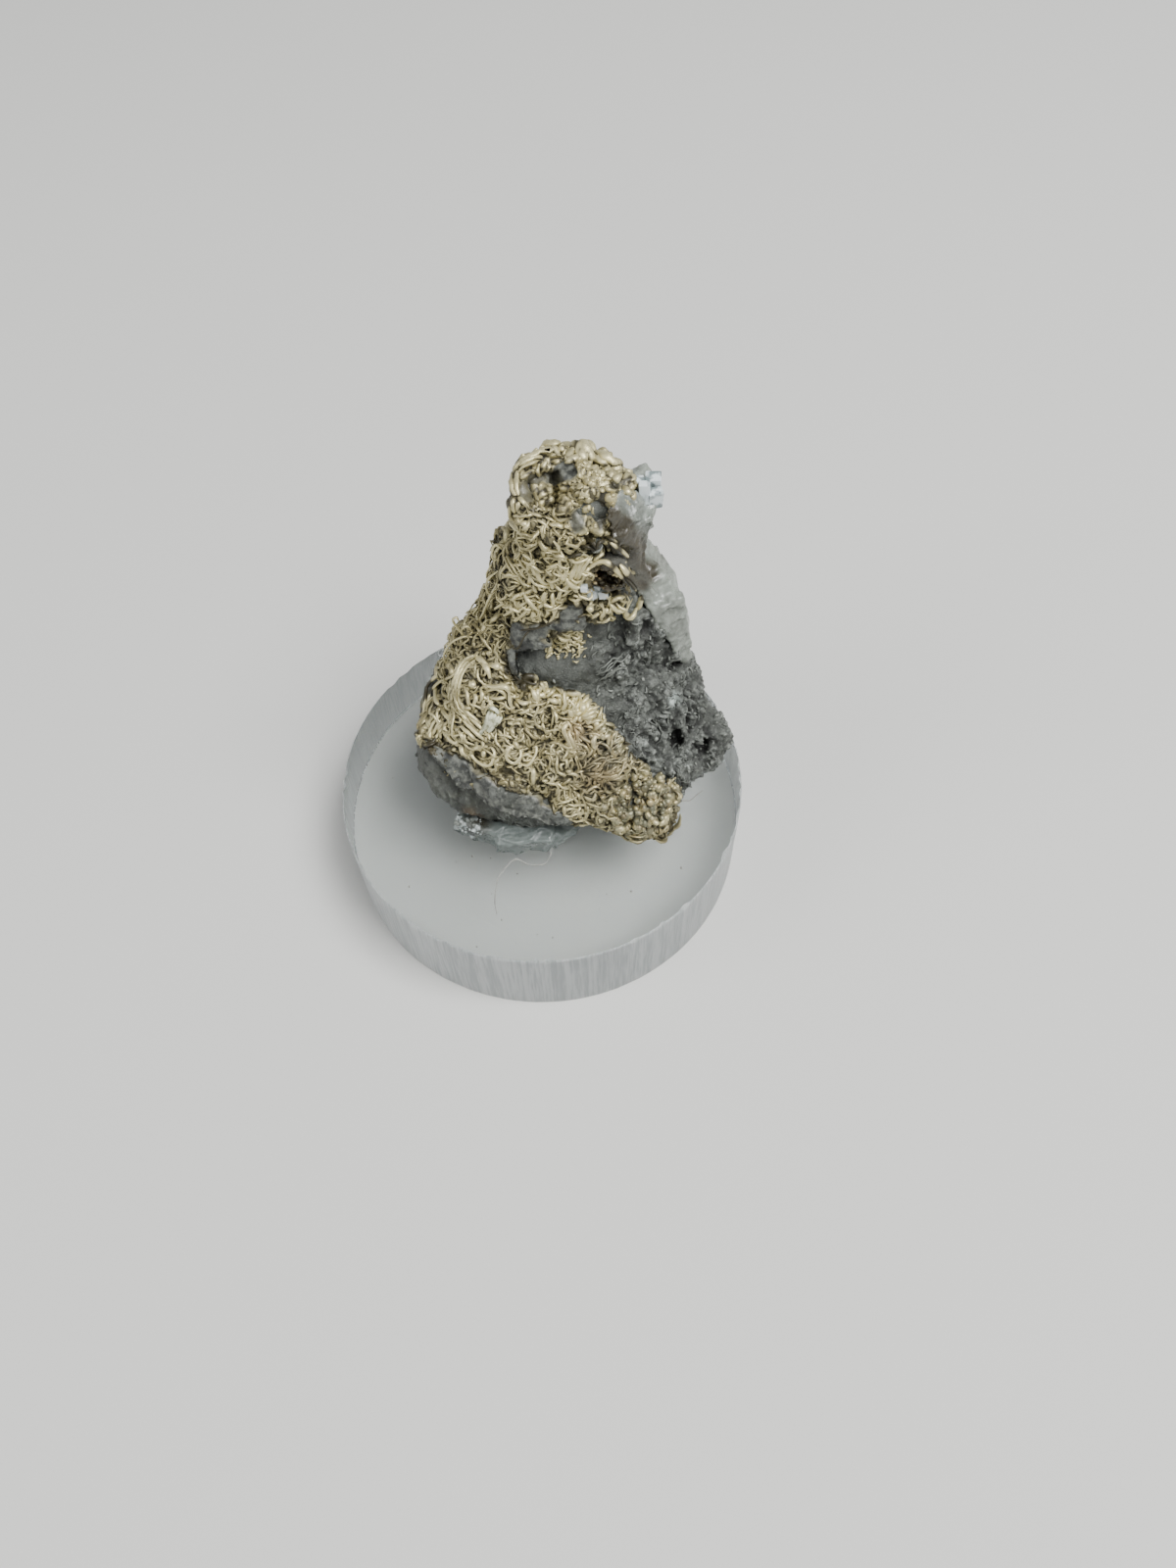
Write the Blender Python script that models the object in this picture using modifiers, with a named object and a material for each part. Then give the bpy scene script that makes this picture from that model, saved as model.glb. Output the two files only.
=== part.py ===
"""Native silver specimen on a clear round base.

A dark sulphide boulder tapers upwards to a knob with a crater in its top. Matted silver wires
cover its belly, its left flank and its neck, nodular silver rings the crater, and cleaved calcite
stands along its right shoulder and under its front foot. Units are metres, +Z is up, and the origin is the middle of the base's
underside. The specimen's own numbers are millimetres from the middle of the base's top face.
"""
import math
import random

import bmesh
import bpy
from mathutils import Euler, Matrix, Vector, noise
from mathutils.bvhtree import BVHTree

MM = 0.001

# The clear base, in metres
DISC_DIAMETER = 25.4 * MM
DISC_THICKNESS = 6.35 * MM
DISC_CHAMFER = 0.15 * MM
DISC_SEGMENTS = 72

# The specimen's driving sizes, in millimetres
SPECIMEN_FOOT = 0.1
PIECE_GAP = 0.12
SLIVER = 0.002
AXIS = Vector((2.2, 2.8, 0.0))
OUTSIDE = 40.0
GROUND_WIDTH = 60.0
GROUND_DEPTH = 20.0

# The felt of wires: its quilt of lumps, and the wires that stand out of it
MAT_THICKNESS = 0.95
QUILT_SPACING = 1.0
QUILT_SPREAD = 0.95
WIRE_RADIUS = 0.2
WIRE_LENGTHS = (1.6, 3.6)
WIRE_STEPS = 9
WIRE_BEND = 1.1
WIRE_LIFT = 0.2
BELLY_WIRES = 170
NECK_WIRES = 70

# The crown's crust: its quilt, the ring of nodules on the crater's rim and their sizes
CRUST_THICKNESS = 0.6
CRUST_SPACING = 0.75
CRUST_SPREAD = 0.7
RIM_NODULES = 24
RIM_MARGIN = 0.25
RIM_TOP = 22.9
RIM_DROP_TO_FRONT = 1.9
RIM_DROP_TO_RIGHT = 0.12
NODULE_SIZES = (0.42, 0.74)

# The edge of the small cubes in which each uneven piece's shapes are joined
BOULDER_VOXEL = 0.3
QUILT_VOXEL = 0.22
MAT_VOXEL = 0.15
CROWN_VOXEL = 0.16
CALCITE_VOXEL = 0.2
VUG_VOXEL = 0.05

# How finely each uneven piece is faceted
BOULDER_TRIANGLES = 2200
MAT_TRIANGLES = 3100
CROWN_TRIANGLES = 1050
RIDGE_TRIANGLES = 360
FOOT_TRIANGLES = 140
VUG_TRIANGLES = 90

# Level sections of the boulder: height, then its reach to the left, right, front and back
BOULDER_SECTIONS = (
    (0.0, -4.2, 8.0, -3.4, 4.2),
    (1.2, -5.8, 9.9, -4.2, 5.2),
    (3.2, -6.8, 10.8, -4.8, 5.8),
    (5.4, -6.3, 9.9, -4.4, 6.0),
    (8.0, -4.5, 8.6, -2.8, 6.1),
    (10.2, -3.2, 7.2, -0.9, 6.0),
    (12.4, -1.6, 6.6, 0.2, 5.7),
    (15.0, -0.8, 6.0, 0.6, 5.3),
    (18.0, 0.1, 5.4, 0.9, 4.9),
    (20.6, 0.5, 5.2, 1.1, 4.5),
    (22.0, 0.7, 4.8, 1.4, 4.2),
    (22.9, 1.2, 3.9, 2.4, 3.9),
)
SECTION_SQUARENESS = 0.86

# Lumps that swell out of the boulder: centre and half sizes
BOULDER_LUMPS = (
    ((-4.4, -0.6, 3.4), (2.9, 2.7, 2.6)),
    ((-1.4, -2.5, 3.2), (3.5, 2.5, 2.1)),
    ((9.1, -0.2, 3.2), (2.3, 2.1, 2.5)),
    ((8.0, 1.4, 6.4), (2.0, 2.2, 2.5)),
    ((6.0, -3.3, 1.7), (2.0, 1.9, 1.9)),
    ((6.8, 4.4, 3.4), (2.8, 2.2, 3.2)),
    ((-2.0, 3.8, 4.2), (3.3, 2.3, 3.7)),
    ((3.2, 4.3, 9.4), (3.2, 2.2, 4.2)),
    ((3.0, 3.9, 16.3), (2.4, 1.5, 4.2)),
)

# Hollows in the boulder: centre and half sizes
CRATER = ((1.8, 2.4, 22.7), (1.55, 1.4, 2.3))
BOULDER_HOLLOWS = (
    CRATER,
    ((9.7, -2.1, 4.4), (0.65, 1.1, 0.8)),
    ((10.6, -1.2, 3.0), (0.6, 0.9, 0.7)),
    ((8.2, -2.3, 6.0), (0.45, 1.0, 0.6)),
    ((3.2, -4.9, 0.0), (1.8, 2.2, 1.1)),
    ((-3.2, 0.9, 0.0), (2.2, 2.0, 0.9)),
    ((1.0, 6.5, 6.8), (1.3, 1.2, 1.6)),
    ((5.4, 6.0, 12.6), (1.0, 1.0, 1.5)),
)

# Where the wires grow: azimuth about the axis in degrees (0 faces the front, positive turns to
# the right), then the lower and the upper height there
BELLY_BAND = (
    (-168.0, 8.4, 12.0),
    (-140.0, 6.4, 15.5),
    (-110.0, 5.8, 20.0),
    (-84.0, 6.2, 20.4),
    (-69.0, 6.1, 20.4),
    (-61.0, 6.0, 12.6),
    (-40.0, 5.6, 11.0),
    (-18.0, 4.6, 10.2),
    (9.0, 3.0, 9.1),
    (22.0, 1.2, 7.6),
    (33.0, 0.9, 5.4),
    (42.0, 0.9, 2.6),
)
NECK_BAND = (
    (-69.0, 12.4, 20.4),
    (-52.0, 13.2, 20.4),
    (-30.0, 14.2, 20.4),
    (-14.0, 14.6, 20.4),
    (-8.0, 13.4, 20.4),
    (0.0, 13.9, 20.4),
    (6.0, 15.3, 20.4),
    (26.0, 15.4, 20.4),
    (44.0, 15.1, 20.2),
    (56.0, 16.2, 20.0),
)
CROWN_BAND = (
    (-180.0, 20.9, 22.4),
    (-100.0, 20.7, 22.0),
    (-50.0, 20.7, 21.4),
    (0.0, 20.7, 21.2),
    (40.0, 20.7, 21.4),
    (70.0, 21.3, 21.8),
    (120.0, 21.4, 22.2),
    (180.0, 20.9, 22.4),
)

# Where nodules crowd on top of the knob: left, right, front and back, then their spacing
NODULE_FIELD = (2.6, 5.4, 0.9, 4.3)
NODULE_SPACING = 0.8
NODULE_FLOOR = 20.4

# Calcite cleavage blocks, whose corners lean by a share of their size: centre, edge lengths and turn in degrees
CLEAVAGE_LEAN = 0.18
RIDGE_BLOCKS = (
    ((5.3, 2.4, 19.5), (2.9, 3.3, 3.6), (6, -2, 10)),
    ((6.2, 3.0, 21.2), (1.2, 1.7, 1.2), (18, 12, 30)),
    ((5.6, 2.7, 16.6), (2.9, 3.6, 5.0), (-4, -8, -8)),
    ((7.0, 2.6, 12.1), (3.4, 4.2, 6.4), (6, -14, 5)),
    ((7.7, 2.9, 9.4), (2.3, 3.8, 2.6), (-6, -12, -8)),
    ((5.0, 5.0, 14.4), (3.2, 2.0, 5.6), (4, -6, 20)),
    ((3.4, 5.2, 11.2), (2.6, 1.8, 3.4), (-10, 12, -14)),
)
FOOT_BLOCKS = (
    ((-3.5, -3.3, 0.95), (3.3, 2.4, 1.8), (10, 4, -32)),
    ((-1.5, -4.3, 0.85), (3.3, 2.2, 1.8), (14, -3, -10)),
    ((0.6, -4.1, 0.7), (2.4, 1.8, 1.4), (12, 4, 14)),
)

# The small hollow in the neck's felt, and the cubes that stand in it: centre, edge and turn
VUG_HOLLOW = ((3.8, -0.1, 16.9), (0.95, 0.8, 0.55))
VUG_CRYSTALS = (
    ((3.25, 0.35, 16.85), 0.44, (20, 30, 10)),
    ((3.6, 0.3, 17.05), 0.5, (45, 15, 40)),
    ((3.95, 0.35, 16.85), 0.52, (10, 50, 25)),
    ((4.3, 0.45, 16.95), 0.42, (50, 20, 15)),
    ((3.7, 0.45, 16.6), 0.46, (35, 20, 65)),
)


def clear_scene():
    """Remove everything that a new file holds."""
    for old in list(bpy.data.objects):
        bpy.data.objects.remove(old, do_unlink=True)


def new_collection(name):
    """A collection linked to the scene."""
    made = bpy.data.collections.new(name)
    bpy.context.scene.collection.children.link(made)
    return made


def principled(name, colour, roughness, metallic=0.0, alpha=1.0):
    """A Principled material with the values read from the piece."""
    made = bpy.data.materials.new(name)
    made.use_nodes = True
    shader = made.node_tree.nodes["Principled BSDF"]
    shader.inputs["Base Color"].default_value = (*colour, 1.0)
    shader.inputs["Roughness"].default_value = roughness
    shader.inputs["Metallic"].default_value = metallic
    shader.inputs["Alpha"].default_value = alpha
    return made


def object_from(name, bm, collection, material=None):
    """Turn a bmesh in millimetres into an object of that name."""
    bmesh.ops.scale(bm, vec=(MM, MM, MM), verts=bm.verts)
    mesh = bpy.data.meshes.new(name)
    bm.to_mesh(mesh)
    bm.free()
    made = bpy.data.objects.new(name, mesh)
    collection.objects.link(made)
    if material:
        mesh.materials.append(material)
    return made


def settle(piece):
    """Replace a piece's mesh with the one that its modifiers give."""
    bpy.context.view_layer.update()
    seen = piece.evaluated_get(bpy.context.evaluated_depsgraph_get())
    mesh = bpy.data.meshes.new_from_object(seen)
    piece.modifiers.clear()
    old = piece.data
    piece.data = mesh
    bpy.data.meshes.remove(old)
    mesh.name = piece.name


def modify(piece, kind, **settings):
    """Put one modifier on a piece and settle it."""
    made = piece.modifiers.new(kind.title(), kind)
    for setting, value in settings.items():
        setattr(made, setting, value)
    settle(piece)


def fused(piece, voxel):
    """Join a piece's overlapping shapes into one skin of small squares."""
    modify(piece, "REMESH", mode="VOXEL", voxel_size=voxel * MM, use_smooth_shade=False)


def thinned(piece, triangles):
    """Bring a piece down to about that many triangles."""
    count = sum(len(face.vertices) - 2 for face in piece.data.polygons)
    modify(piece, "TRIANGULATE")
    if count > triangles:
        modify(piece, "DECIMATE", ratio=triangles / count, use_collapse_triangulate=True)


def boolean(piece, other, operation):
    """Cut or join a piece with another closed piece."""
    modify(piece, "BOOLEAN", object=other, operation=operation, solver="EXACT", use_self=True)


def keep_largest(piece):
    """Drop the crumbs that a cut leaves beside the main body."""
    bm = bmesh.new()
    bm.from_mesh(piece.data)
    bmesh.ops.remove_doubles(bm, verts=bm.verts, dist=SLIVER * MM)
    bmesh.ops.triangulate(bm, faces=bm.faces)
    left = set(bm.faces)
    bodies = []
    while left:
        body = [left.pop()]
        for face in body:
            pairs = [edge.link_faces for edge in face.edges if len(edge.link_faces) == 2]
            for neighbour in (face for pair in pairs for face in pair):
                if neighbour in left:
                    left.remove(neighbour)
                    body.append(neighbour)
        bodies.append(body)
    bodies.sort(key=len, reverse=True)
    crumbs = [face for body in bodies[1:] for face in body]
    bmesh.ops.delete(bm, geom=crumbs, context="FACES")
    bm.to_mesh(piece.data)
    bm.free()


def unit_ball(level):
    """The mesh of a faceted ball of radius one, made once for each level."""
    name = f"ball_{level}"
    if name not in bpy.data.meshes:
        bm = bmesh.new()
        bmesh.ops.create_icosphere(bm, subdivisions=level, radius=1.0)
        bm.to_mesh(bpy.data.meshes.new(name))
        bm.free()
    return bpy.data.meshes[name]


def add_lump(bm, centre, half_sizes, turn=None, level=3):
    """Add an ellipsoid to a bmesh."""
    ball = unit_ball(level).copy()
    turned = turn.to_4x4() if turn else Matrix()
    ball.transform(Matrix.Translation(centre) @ turned @ Matrix.Diagonal((*half_sizes, 1.0)))
    bm.from_mesh(ball)
    bpy.data.meshes.remove(ball)


def add_block(bm, centre, edges, degrees):
    """Add a cleavage block, a cube leaned over as calcite's rhombs are."""
    made = bmesh.ops.create_cube(bm, size=1.0)["verts"]
    for corner in made:
        corner.co.x += CLEAVAGE_LEAN * corner.co.z
        corner.co.y += CLEAVAGE_LEAN * corner.co.x
    bmesh.ops.scale(bm, vec=Vector(edges), verts=made)
    turn = Euler([math.radians(angle) for angle in degrees]).to_matrix()
    bmesh.ops.rotate(bm, cent=(0, 0, 0), matrix=turn, verts=made)
    bmesh.ops.translate(bm, vec=Vector(centre), verts=made)


def interpolate(table, place):
    """Read a table of rows at a place between its first column's values."""
    for lower, upper in zip(table, table[1:]):
        if place <= upper[0]:
            share = max(0.0, (place - lower[0]) / (upper[0] - lower[0]))
            return [low + share * (high - low) for low, high in zip(lower[1:], upper[1:])]
    return list(table[-1][1:])


def add_boulder(bm):
    """Add a sphere whose points are moved out to the level sections."""
    made = bmesh.ops.create_uvsphere(bm, u_segments=64, v_segments=44, radius=1.0)["verts"]
    bottom, top = BOULDER_SECTIONS[0][0], BOULDER_SECTIONS[-1][0]
    for point in made:
        latitude = math.acos(max(-1.0, min(1.0, point.co.z))) / math.pi
        height = top - (top - bottom) * latitude
        left, right, front, back = interpolate(BOULDER_SECTIONS, height)
        middle = Vector(((left + right) / 2, (front + back) / 2, height))
        if point.co.xy.length < 0.001:
            point.co = middle
            continue
        across, along = point.co.xy.normalized()
        rounded = [math.copysign(abs(part) ** SECTION_SQUARENESS, part) for part in (across, along)]
        middle.x += rounded[0] * (right - left) / 2
        middle.y += rounded[1] * (back - front) / 2
        point.co = middle


def rock_relief(point):
    """How far the broken rock stands out at a point: swells, ledges and grain."""
    swell = 0.35 * noise.noise(point * 0.22 + Vector((3.1, 0.4, 7.7)))
    stepped = 2.4 * noise.noise(point * 0.42 + Vector((9.2, 5.5, 1.3)))
    ledge = 0.26 * (math.floor(stepped) + min(1.0, 4.0 * (stepped % 1.0)))
    grain = 0.16 * noise.noise(point * 1.5)
    return swell + ledge + grain


def roughened(piece, relief):
    """Push every point of a piece out along its normal by a relief."""
    normals = [vertex.normal.copy() for vertex in piece.data.vertices]
    for vertex, normal in zip(piece.data.vertices, normals):
        vertex.co += normal * relief(vertex.co / MM) * MM


def as_cutter(shape):
    """Mark a shape as one that only cuts others."""
    shape.hide_render = True
    shape.display_type = "WIRE"
    return shape


def swollen(piece, name, amount, collection):
    """A copy of a piece grown by an even amount, for cutting its neighbours."""
    made = bpy.data.objects.new(name, piece.data.copy())
    collection.objects.link(made)
    modify(made, "DISPLACE", strength=amount * MM, mid_level=0.0)
    return as_cutter(made)


def ground_box(collection):
    """A box below the specimen's foot, for trimming what meets the base."""
    bm = bmesh.new()
    made = bmesh.ops.create_cube(bm, size=1.0)["verts"]
    bmesh.ops.scale(bm, vec=(GROUND_WIDTH, GROUND_WIDTH, GROUND_DEPTH), verts=made)
    bmesh.ops.translate(bm, vec=(0, 0, SPECIMEN_FOOT - GROUND_DEPTH / 2), verts=made)
    return as_cutter(object_from("ground_cutter", bm, collection))


def vug_hollow(collection):
    """The shape of the small hollow that is left open in the neck's felt."""
    bm = bmesh.new()
    add_lump(bm, *VUG_HOLLOW)
    return as_cutter(object_from("vug_cutter", bm, collection))


class Surface:
    """Finds points on a piece by azimuth and height about the specimen's axis."""

    def __init__(self, piece):
        bm = bmesh.new()
        bm.from_mesh(piece.data)
        self.tree = BVHTree.FromBMesh(bm)
        bm.free()

    def at(self, azimuth, height):
        """The outermost point and its normal, in millimetres."""
        angle = math.radians(azimuth)
        outward = Vector((math.sin(angle), -math.cos(angle), 0.0))
        start = AXIS + outward * OUTSIDE + Vector((0, 0, height))
        point, normal, _, _ = self.tree.ray_cast(start * MM, -outward)
        if point is None or (point / MM - AXIS).dot(outward) < 0.6:
            return None, None
        return point / MM, normal

    def below(self, across, along):
        """The uppermost point over a place on the base, in millimetres."""
        start = Vector((across, along, OUTSIDE))
        point, _, _, _ = self.tree.ray_cast(start * MM, Vector((0, 0, -1)))
        return point / MM

    def nearest(self, place):
        """The nearest point and its normal, in millimetres."""
        point, normal, _, _ = self.tree.find_nearest(place * MM)
        return point / MM, normal


def lumps_on(bm, surface, band, spacing, spread, thickness, rng):
    """Quilt a band of a surface with flat lumps that overlap their neighbours."""
    azimuth = band[0][0]
    while azimuth <= band[-1][0]:
        low, high = interpolate(band, azimuth)
        height = low
        reach = 2.5
        while height <= high:
            place, normal = surface.at(azimuth + rng.uniform(-2, 2), height)
            if place:
                reach = max(reach, (place.xy - AXIS.xy).length)
                size = spread * rng.uniform(0.85, 1.15)
                depth = thickness * rng.uniform(0.8, 1.15)
                turn = normal.to_track_quat("Z", "Y").to_matrix()
                add_lump(bm, place, (size, size, depth), turn, level=2)
            height += spacing * rng.uniform(0.85, 1.1)
        azimuth += math.degrees(spacing / reach)


def wire_path(surface, place, normal, length, bend, rng):
    """Points of one wire that curls over a surface and dips into it at both ends."""
    step = length / WIRE_STEPS
    direction = Vector([rng.uniform(-1, 1) for _ in range(3)])
    path = []
    for count in range(WIRE_STEPS + 1):
        direction -= normal * direction.dot(normal)
        direction.normalize()
        rise = WIRE_LIFT * (2.0 * math.sin(math.pi * count / WIRE_STEPS) - 1.0)
        path.append(place + normal * rise)
        direction += normal.cross(direction) * bend * step
        place, normal = surface.nearest(place + direction.normalized() * step)
    return path


def wires_mesh(paths, radius):
    """Turn wire paths in millimetres into one mesh of capped tubes."""
    curve = bpy.data.curves.new("wires", "CURVE")
    curve.dimensions = "3D"
    curve.bevel_depth = radius
    curve.bevel_resolution = 1
    curve.use_fill_caps = True
    for path in paths:
        spline = curve.splines.new("POLY")
        spline.points.add(len(path) - 1)
        for point, place in zip(spline.points, path):
            point.co = (*place, 1.0)
    carrier = bpy.data.objects.new("wires", curve)
    bpy.context.scene.collection.objects.link(carrier)
    bpy.context.view_layer.update()
    seen = carrier.evaluated_get(bpy.context.evaluated_depsgraph_get())
    mesh = bpy.data.meshes.new_from_object(seen)
    bpy.data.objects.remove(carrier)
    bpy.data.curves.remove(curve)
    return mesh


def make_disc(collection, material):
    """The base: a turned disc with a narrow chamfer on both rims."""
    bm = bmesh.new()
    bmesh.ops.create_cone(
        bm, cap_ends=True, segments=DISC_SEGMENTS, radius1=DISC_DIAMETER / 2 / MM,
        radius2=DISC_DIAMETER / 2 / MM, depth=DISC_THICKNESS / MM)
    bmesh.ops.translate(bm, vec=(0, 0, -DISC_THICKNESS / 2 / MM), verts=bm.verts)
    disc = object_from("acrylic_disc", bm, collection, material)
    rim = disc.modifiers.new("Chamfer", "BEVEL")
    rim.width = DISC_CHAMFER
    rim.segments = 1
    rim.limit_method = "ANGLE"
    return disc


def make_boulder(collection, material, ground):
    """The dark sulphide boulder with its knob, ledges, pits and crater."""
    bm = bmesh.new()
    add_boulder(bm)
    for centre, half_sizes in BOULDER_LUMPS:
        add_lump(bm, centre, half_sizes)
    boulder = object_from("sulphide_matrix", bm, collection, material)
    fused(boulder, BOULDER_VOXEL)
    modify(boulder, "SMOOTH", factor=0.5, iterations=3)
    bm = bmesh.new()
    for centre, half_sizes in BOULDER_HOLLOWS:
        add_lump(bm, centre, half_sizes)
    hollows = object_from("hollow_cutter", bm, collection)
    boolean(boulder, hollows, "DIFFERENCE")
    bpy.data.objects.remove(hollows)
    fused(boulder, BOULDER_VOXEL)
    roughened(boulder, rock_relief)
    fused(boulder, BOULDER_VOXEL)
    boolean(boulder, ground, "DIFFERENCE")
    thinned(boulder, BOULDER_TRIANGLES)
    keep_largest(boulder)
    return boulder


def make_calcite(name, blocks, collection, material, cutters, triangles):
    """Cleaved calcite: leaning blocks grown together, cut where the boulder fills them."""
    bm = bmesh.new()
    for centre, edges, degrees in blocks:
        add_block(bm, centre, edges, degrees)
    calcite = object_from(name, bm, collection, material)
    fused(calcite, CALCITE_VOXEL)
    modify(calcite, "SMOOTH", factor=0.5, iterations=2)
    roughened(calcite, lambda point: 0.14 * noise.noise(point * 0.9))
    thinned(calcite, triangles)
    for cutter in cutters:
        boolean(calcite, cutter, "DIFFERENCE")
    keep_largest(calcite)
    return calcite


def make_mat(collection, material, boulder, cutters):
    """The felt of silver wires over the belly, the left flank and the neck."""
    rng = random.Random(11)
    rock = Surface(boulder)
    bm = bmesh.new()
    for band in (BELLY_BAND, NECK_BAND):
        lumps_on(bm, rock, band, QUILT_SPACING, QUILT_SPREAD, MAT_THICKNESS, rng)
    mat = object_from("silver_wire_mat", bm, collection, material)
    fused(mat, QUILT_VOXEL)
    felt = Surface(mat)
    paths = []
    for band, count in ((BELLY_BAND, BELLY_WIRES), (NECK_BAND, NECK_WIRES)):
        for _ in range(count):
            azimuth = rng.uniform(band[0][0], band[-1][0])
            low, high = interpolate(band, azimuth)
            place, normal = felt.at(azimuth, rng.uniform(low + 0.3, high - 0.3))
            if place:
                length = rng.uniform(*WIRE_LENGTHS)
                bend = rng.uniform(-WIRE_BEND, WIRE_BEND)
                paths.append(wire_path(felt, place, normal, length, bend, rng))
    wires = wires_mesh(paths, WIRE_RADIUS)
    wires.transform(Matrix.Scale(MM, 4))
    bm = bmesh.new()
    bm.from_mesh(mat.data)
    bm.from_mesh(wires)
    bm.to_mesh(mat.data)
    bm.free()
    fused(mat, MAT_VOXEL)
    thinned(mat, MAT_TRIANGLES)
    for cutter in cutters:
        boolean(mat, cutter, "DIFFERENCE")
    keep_largest(mat)
    return mat


def make_vug_crystals(collection, material, cutters):
    """The cluster of small cubes in the neck's hollow, grown into each other."""
    bm = bmesh.new()
    for centre, edge, degrees in VUG_CRYSTALS:
        add_block(bm, centre, (edge, edge, edge), degrees)
    crystals = object_from("vug_crystals", bm, collection, material)
    fused(crystals, VUG_VOXEL)
    thinned(crystals, VUG_TRIANGLES)
    for cutter in cutters:
        boolean(crystals, cutter, "DIFFERENCE")
    keep_largest(crystals)
    return crystals


def make_crown(collection, material, boulder, cutters):
    """The nodular silver crust round the crater."""
    rng = random.Random(5)
    rock = Surface(boulder)
    bm = bmesh.new()
    lumps_on(bm, rock, CROWN_BAND, CRUST_SPACING, CRUST_SPREAD, CRUST_THICKNESS, rng)
    centre, half_sizes = CRATER
    left, right, front, back = NODULE_FIELD
    for column in range(int((right - left) / NODULE_SPACING) + 1):
        for row in range(int((back - front) / NODULE_SPACING) + 1):
            across = left + NODULE_SPACING * (column + rng.uniform(-0.3, 0.3))
            along = front + NODULE_SPACING * (row + rng.uniform(-0.3, 0.3))
            place = rock.below(across, along)
            if place.z > NODULE_FLOOR:
                size = rng.uniform(*NODULE_SIZES)
                add_lump(bm, place, (size, size, size), level=2)
    for count in range(RIM_NODULES):
        angle = 2 * math.pi * count / RIM_NODULES + rng.uniform(-0.07, 0.07)
        across = math.sin(angle) * (half_sizes[0] + RIM_MARGIN)
        along = -math.cos(angle) * (half_sizes[1] + RIM_MARGIN)
        nearness = (1.0 + math.cos(angle)) / 2
        height = RIM_TOP - RIM_DROP_TO_FRONT * nearness - RIM_DROP_TO_RIGHT * across
        size = rng.uniform(*NODULE_SIZES)
        add_lump(bm, (centre[0] + across, centre[1] + along, height), (size, size, size), level=2)
    crown = object_from("silver_crown", bm, collection, material)
    fused(crown, CROWN_VOXEL)
    roughened(crown, lambda point: 0.22 * noise.noise(point * 1.7))
    thinned(crown, CROWN_TRIANGLES)
    for cutter in cutters:
        boolean(crown, cutter, "DIFFERENCE")
    keep_largest(crown)
    return crown


def build():
    """Make every piece of the specimen and its base."""
    clear_scene()
    pieces = new_collection("native_silver_specimen")
    cutters = new_collection("cutters")
    clear = principled("clear_acrylic", (0.86, 0.9, 0.9), 0.12, alpha=0.35)
    dark = principled("dark_sulphide", (0.06, 0.065, 0.06), 0.55, metallic=0.25)
    silver = principled("tarnished_silver", (0.72, 0.66, 0.5), 0.4, metallic=0.85)
    pale = principled("pale_calcite", (0.72, 0.74, 0.7), 0.45)
    white = principled("white_crystal", (0.86, 0.9, 0.88), 0.25)
    ground = ground_box(cutters)

    boulder = make_boulder(pieces, dark, ground)
    rock_room = swollen(boulder, "rock_room", PIECE_GAP, cutters)
    ridge = make_calcite("calcite_ridge", RIDGE_BLOCKS, pieces, pale, (rock_room,), RIDGE_TRIANGLES)
    foot = make_calcite("calcite_foot", FOOT_BLOCKS, pieces, pale, (rock_room, ground), FOOT_TRIANGLES)
    ridge_room = swollen(ridge, "ridge_room", PIECE_GAP, cutters)
    foot_room = swollen(foot, "foot_room", PIECE_GAP, cutters)
    crown = make_crown(pieces, silver, boulder, (rock_room, ridge_room))
    crown_room = swollen(crown, "crown_room", PIECE_GAP, cutters)
    vug = make_vug_crystals(pieces, white, (rock_room,))
    vug_room = swollen(vug, "vug_room", PIECE_GAP, cutters)
    rooms = (rock_room, ridge_room, foot_room, crown_room, vug_hollow(cutters), vug_room, ground)
    make_mat(pieces, silver, boulder, rooms)
    make_disc(pieces, clear)

    holder = bpy.data.objects.new("base_top", None)
    pieces.objects.link(holder)
    holder.location.z = DISC_THICKNESS
    for piece in list(pieces.objects) + list(cutters.objects):
        if piece is not holder:
            piece.parent = holder


build()
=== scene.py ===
"""The finished looks of a native silver specimen on its clear round base.

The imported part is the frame. Each operator makes one piece, or one group of like pieces, from the
node that it stands for. Shapes are worked out in millimetres from the middle of the base's top
face (-Y is the front, +X the side with the calcite), and placed in metres when they are finished.
"""
import math
import random

import bmesh
import bpy
import numpy as np
from bpy.props import FloatProperty, FloatVectorProperty, IntProperty, PointerProperty
from mathutils import Matrix, Quaternion, Vector, noise
from mathutils.bvhtree import BVHTree


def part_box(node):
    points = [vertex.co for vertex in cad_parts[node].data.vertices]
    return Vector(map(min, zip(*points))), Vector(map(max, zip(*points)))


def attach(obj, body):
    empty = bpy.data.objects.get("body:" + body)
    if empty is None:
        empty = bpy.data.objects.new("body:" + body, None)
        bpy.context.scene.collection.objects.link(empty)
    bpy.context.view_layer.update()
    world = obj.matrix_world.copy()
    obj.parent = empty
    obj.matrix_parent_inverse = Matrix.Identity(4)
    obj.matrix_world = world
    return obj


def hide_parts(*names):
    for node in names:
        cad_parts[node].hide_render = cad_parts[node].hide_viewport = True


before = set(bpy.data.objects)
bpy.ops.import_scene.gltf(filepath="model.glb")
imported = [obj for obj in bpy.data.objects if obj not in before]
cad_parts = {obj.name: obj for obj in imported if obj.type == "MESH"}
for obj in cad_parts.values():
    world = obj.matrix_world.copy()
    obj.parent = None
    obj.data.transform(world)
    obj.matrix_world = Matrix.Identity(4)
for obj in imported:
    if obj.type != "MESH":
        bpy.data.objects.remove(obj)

bl_info = {
    "name": "Native silver specimen",
    "version": (1, 0, 0),
    "blender": (4, 5, 0),
    "location": "3D View > Sidebar > Specimen",
    "description": "Builds the finished surfaces of a native silver specimen on a clear base",
    "category": "Object",
}

# The noise's vectors follow the clock unless this is set
noise.seed_set(5)

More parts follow.
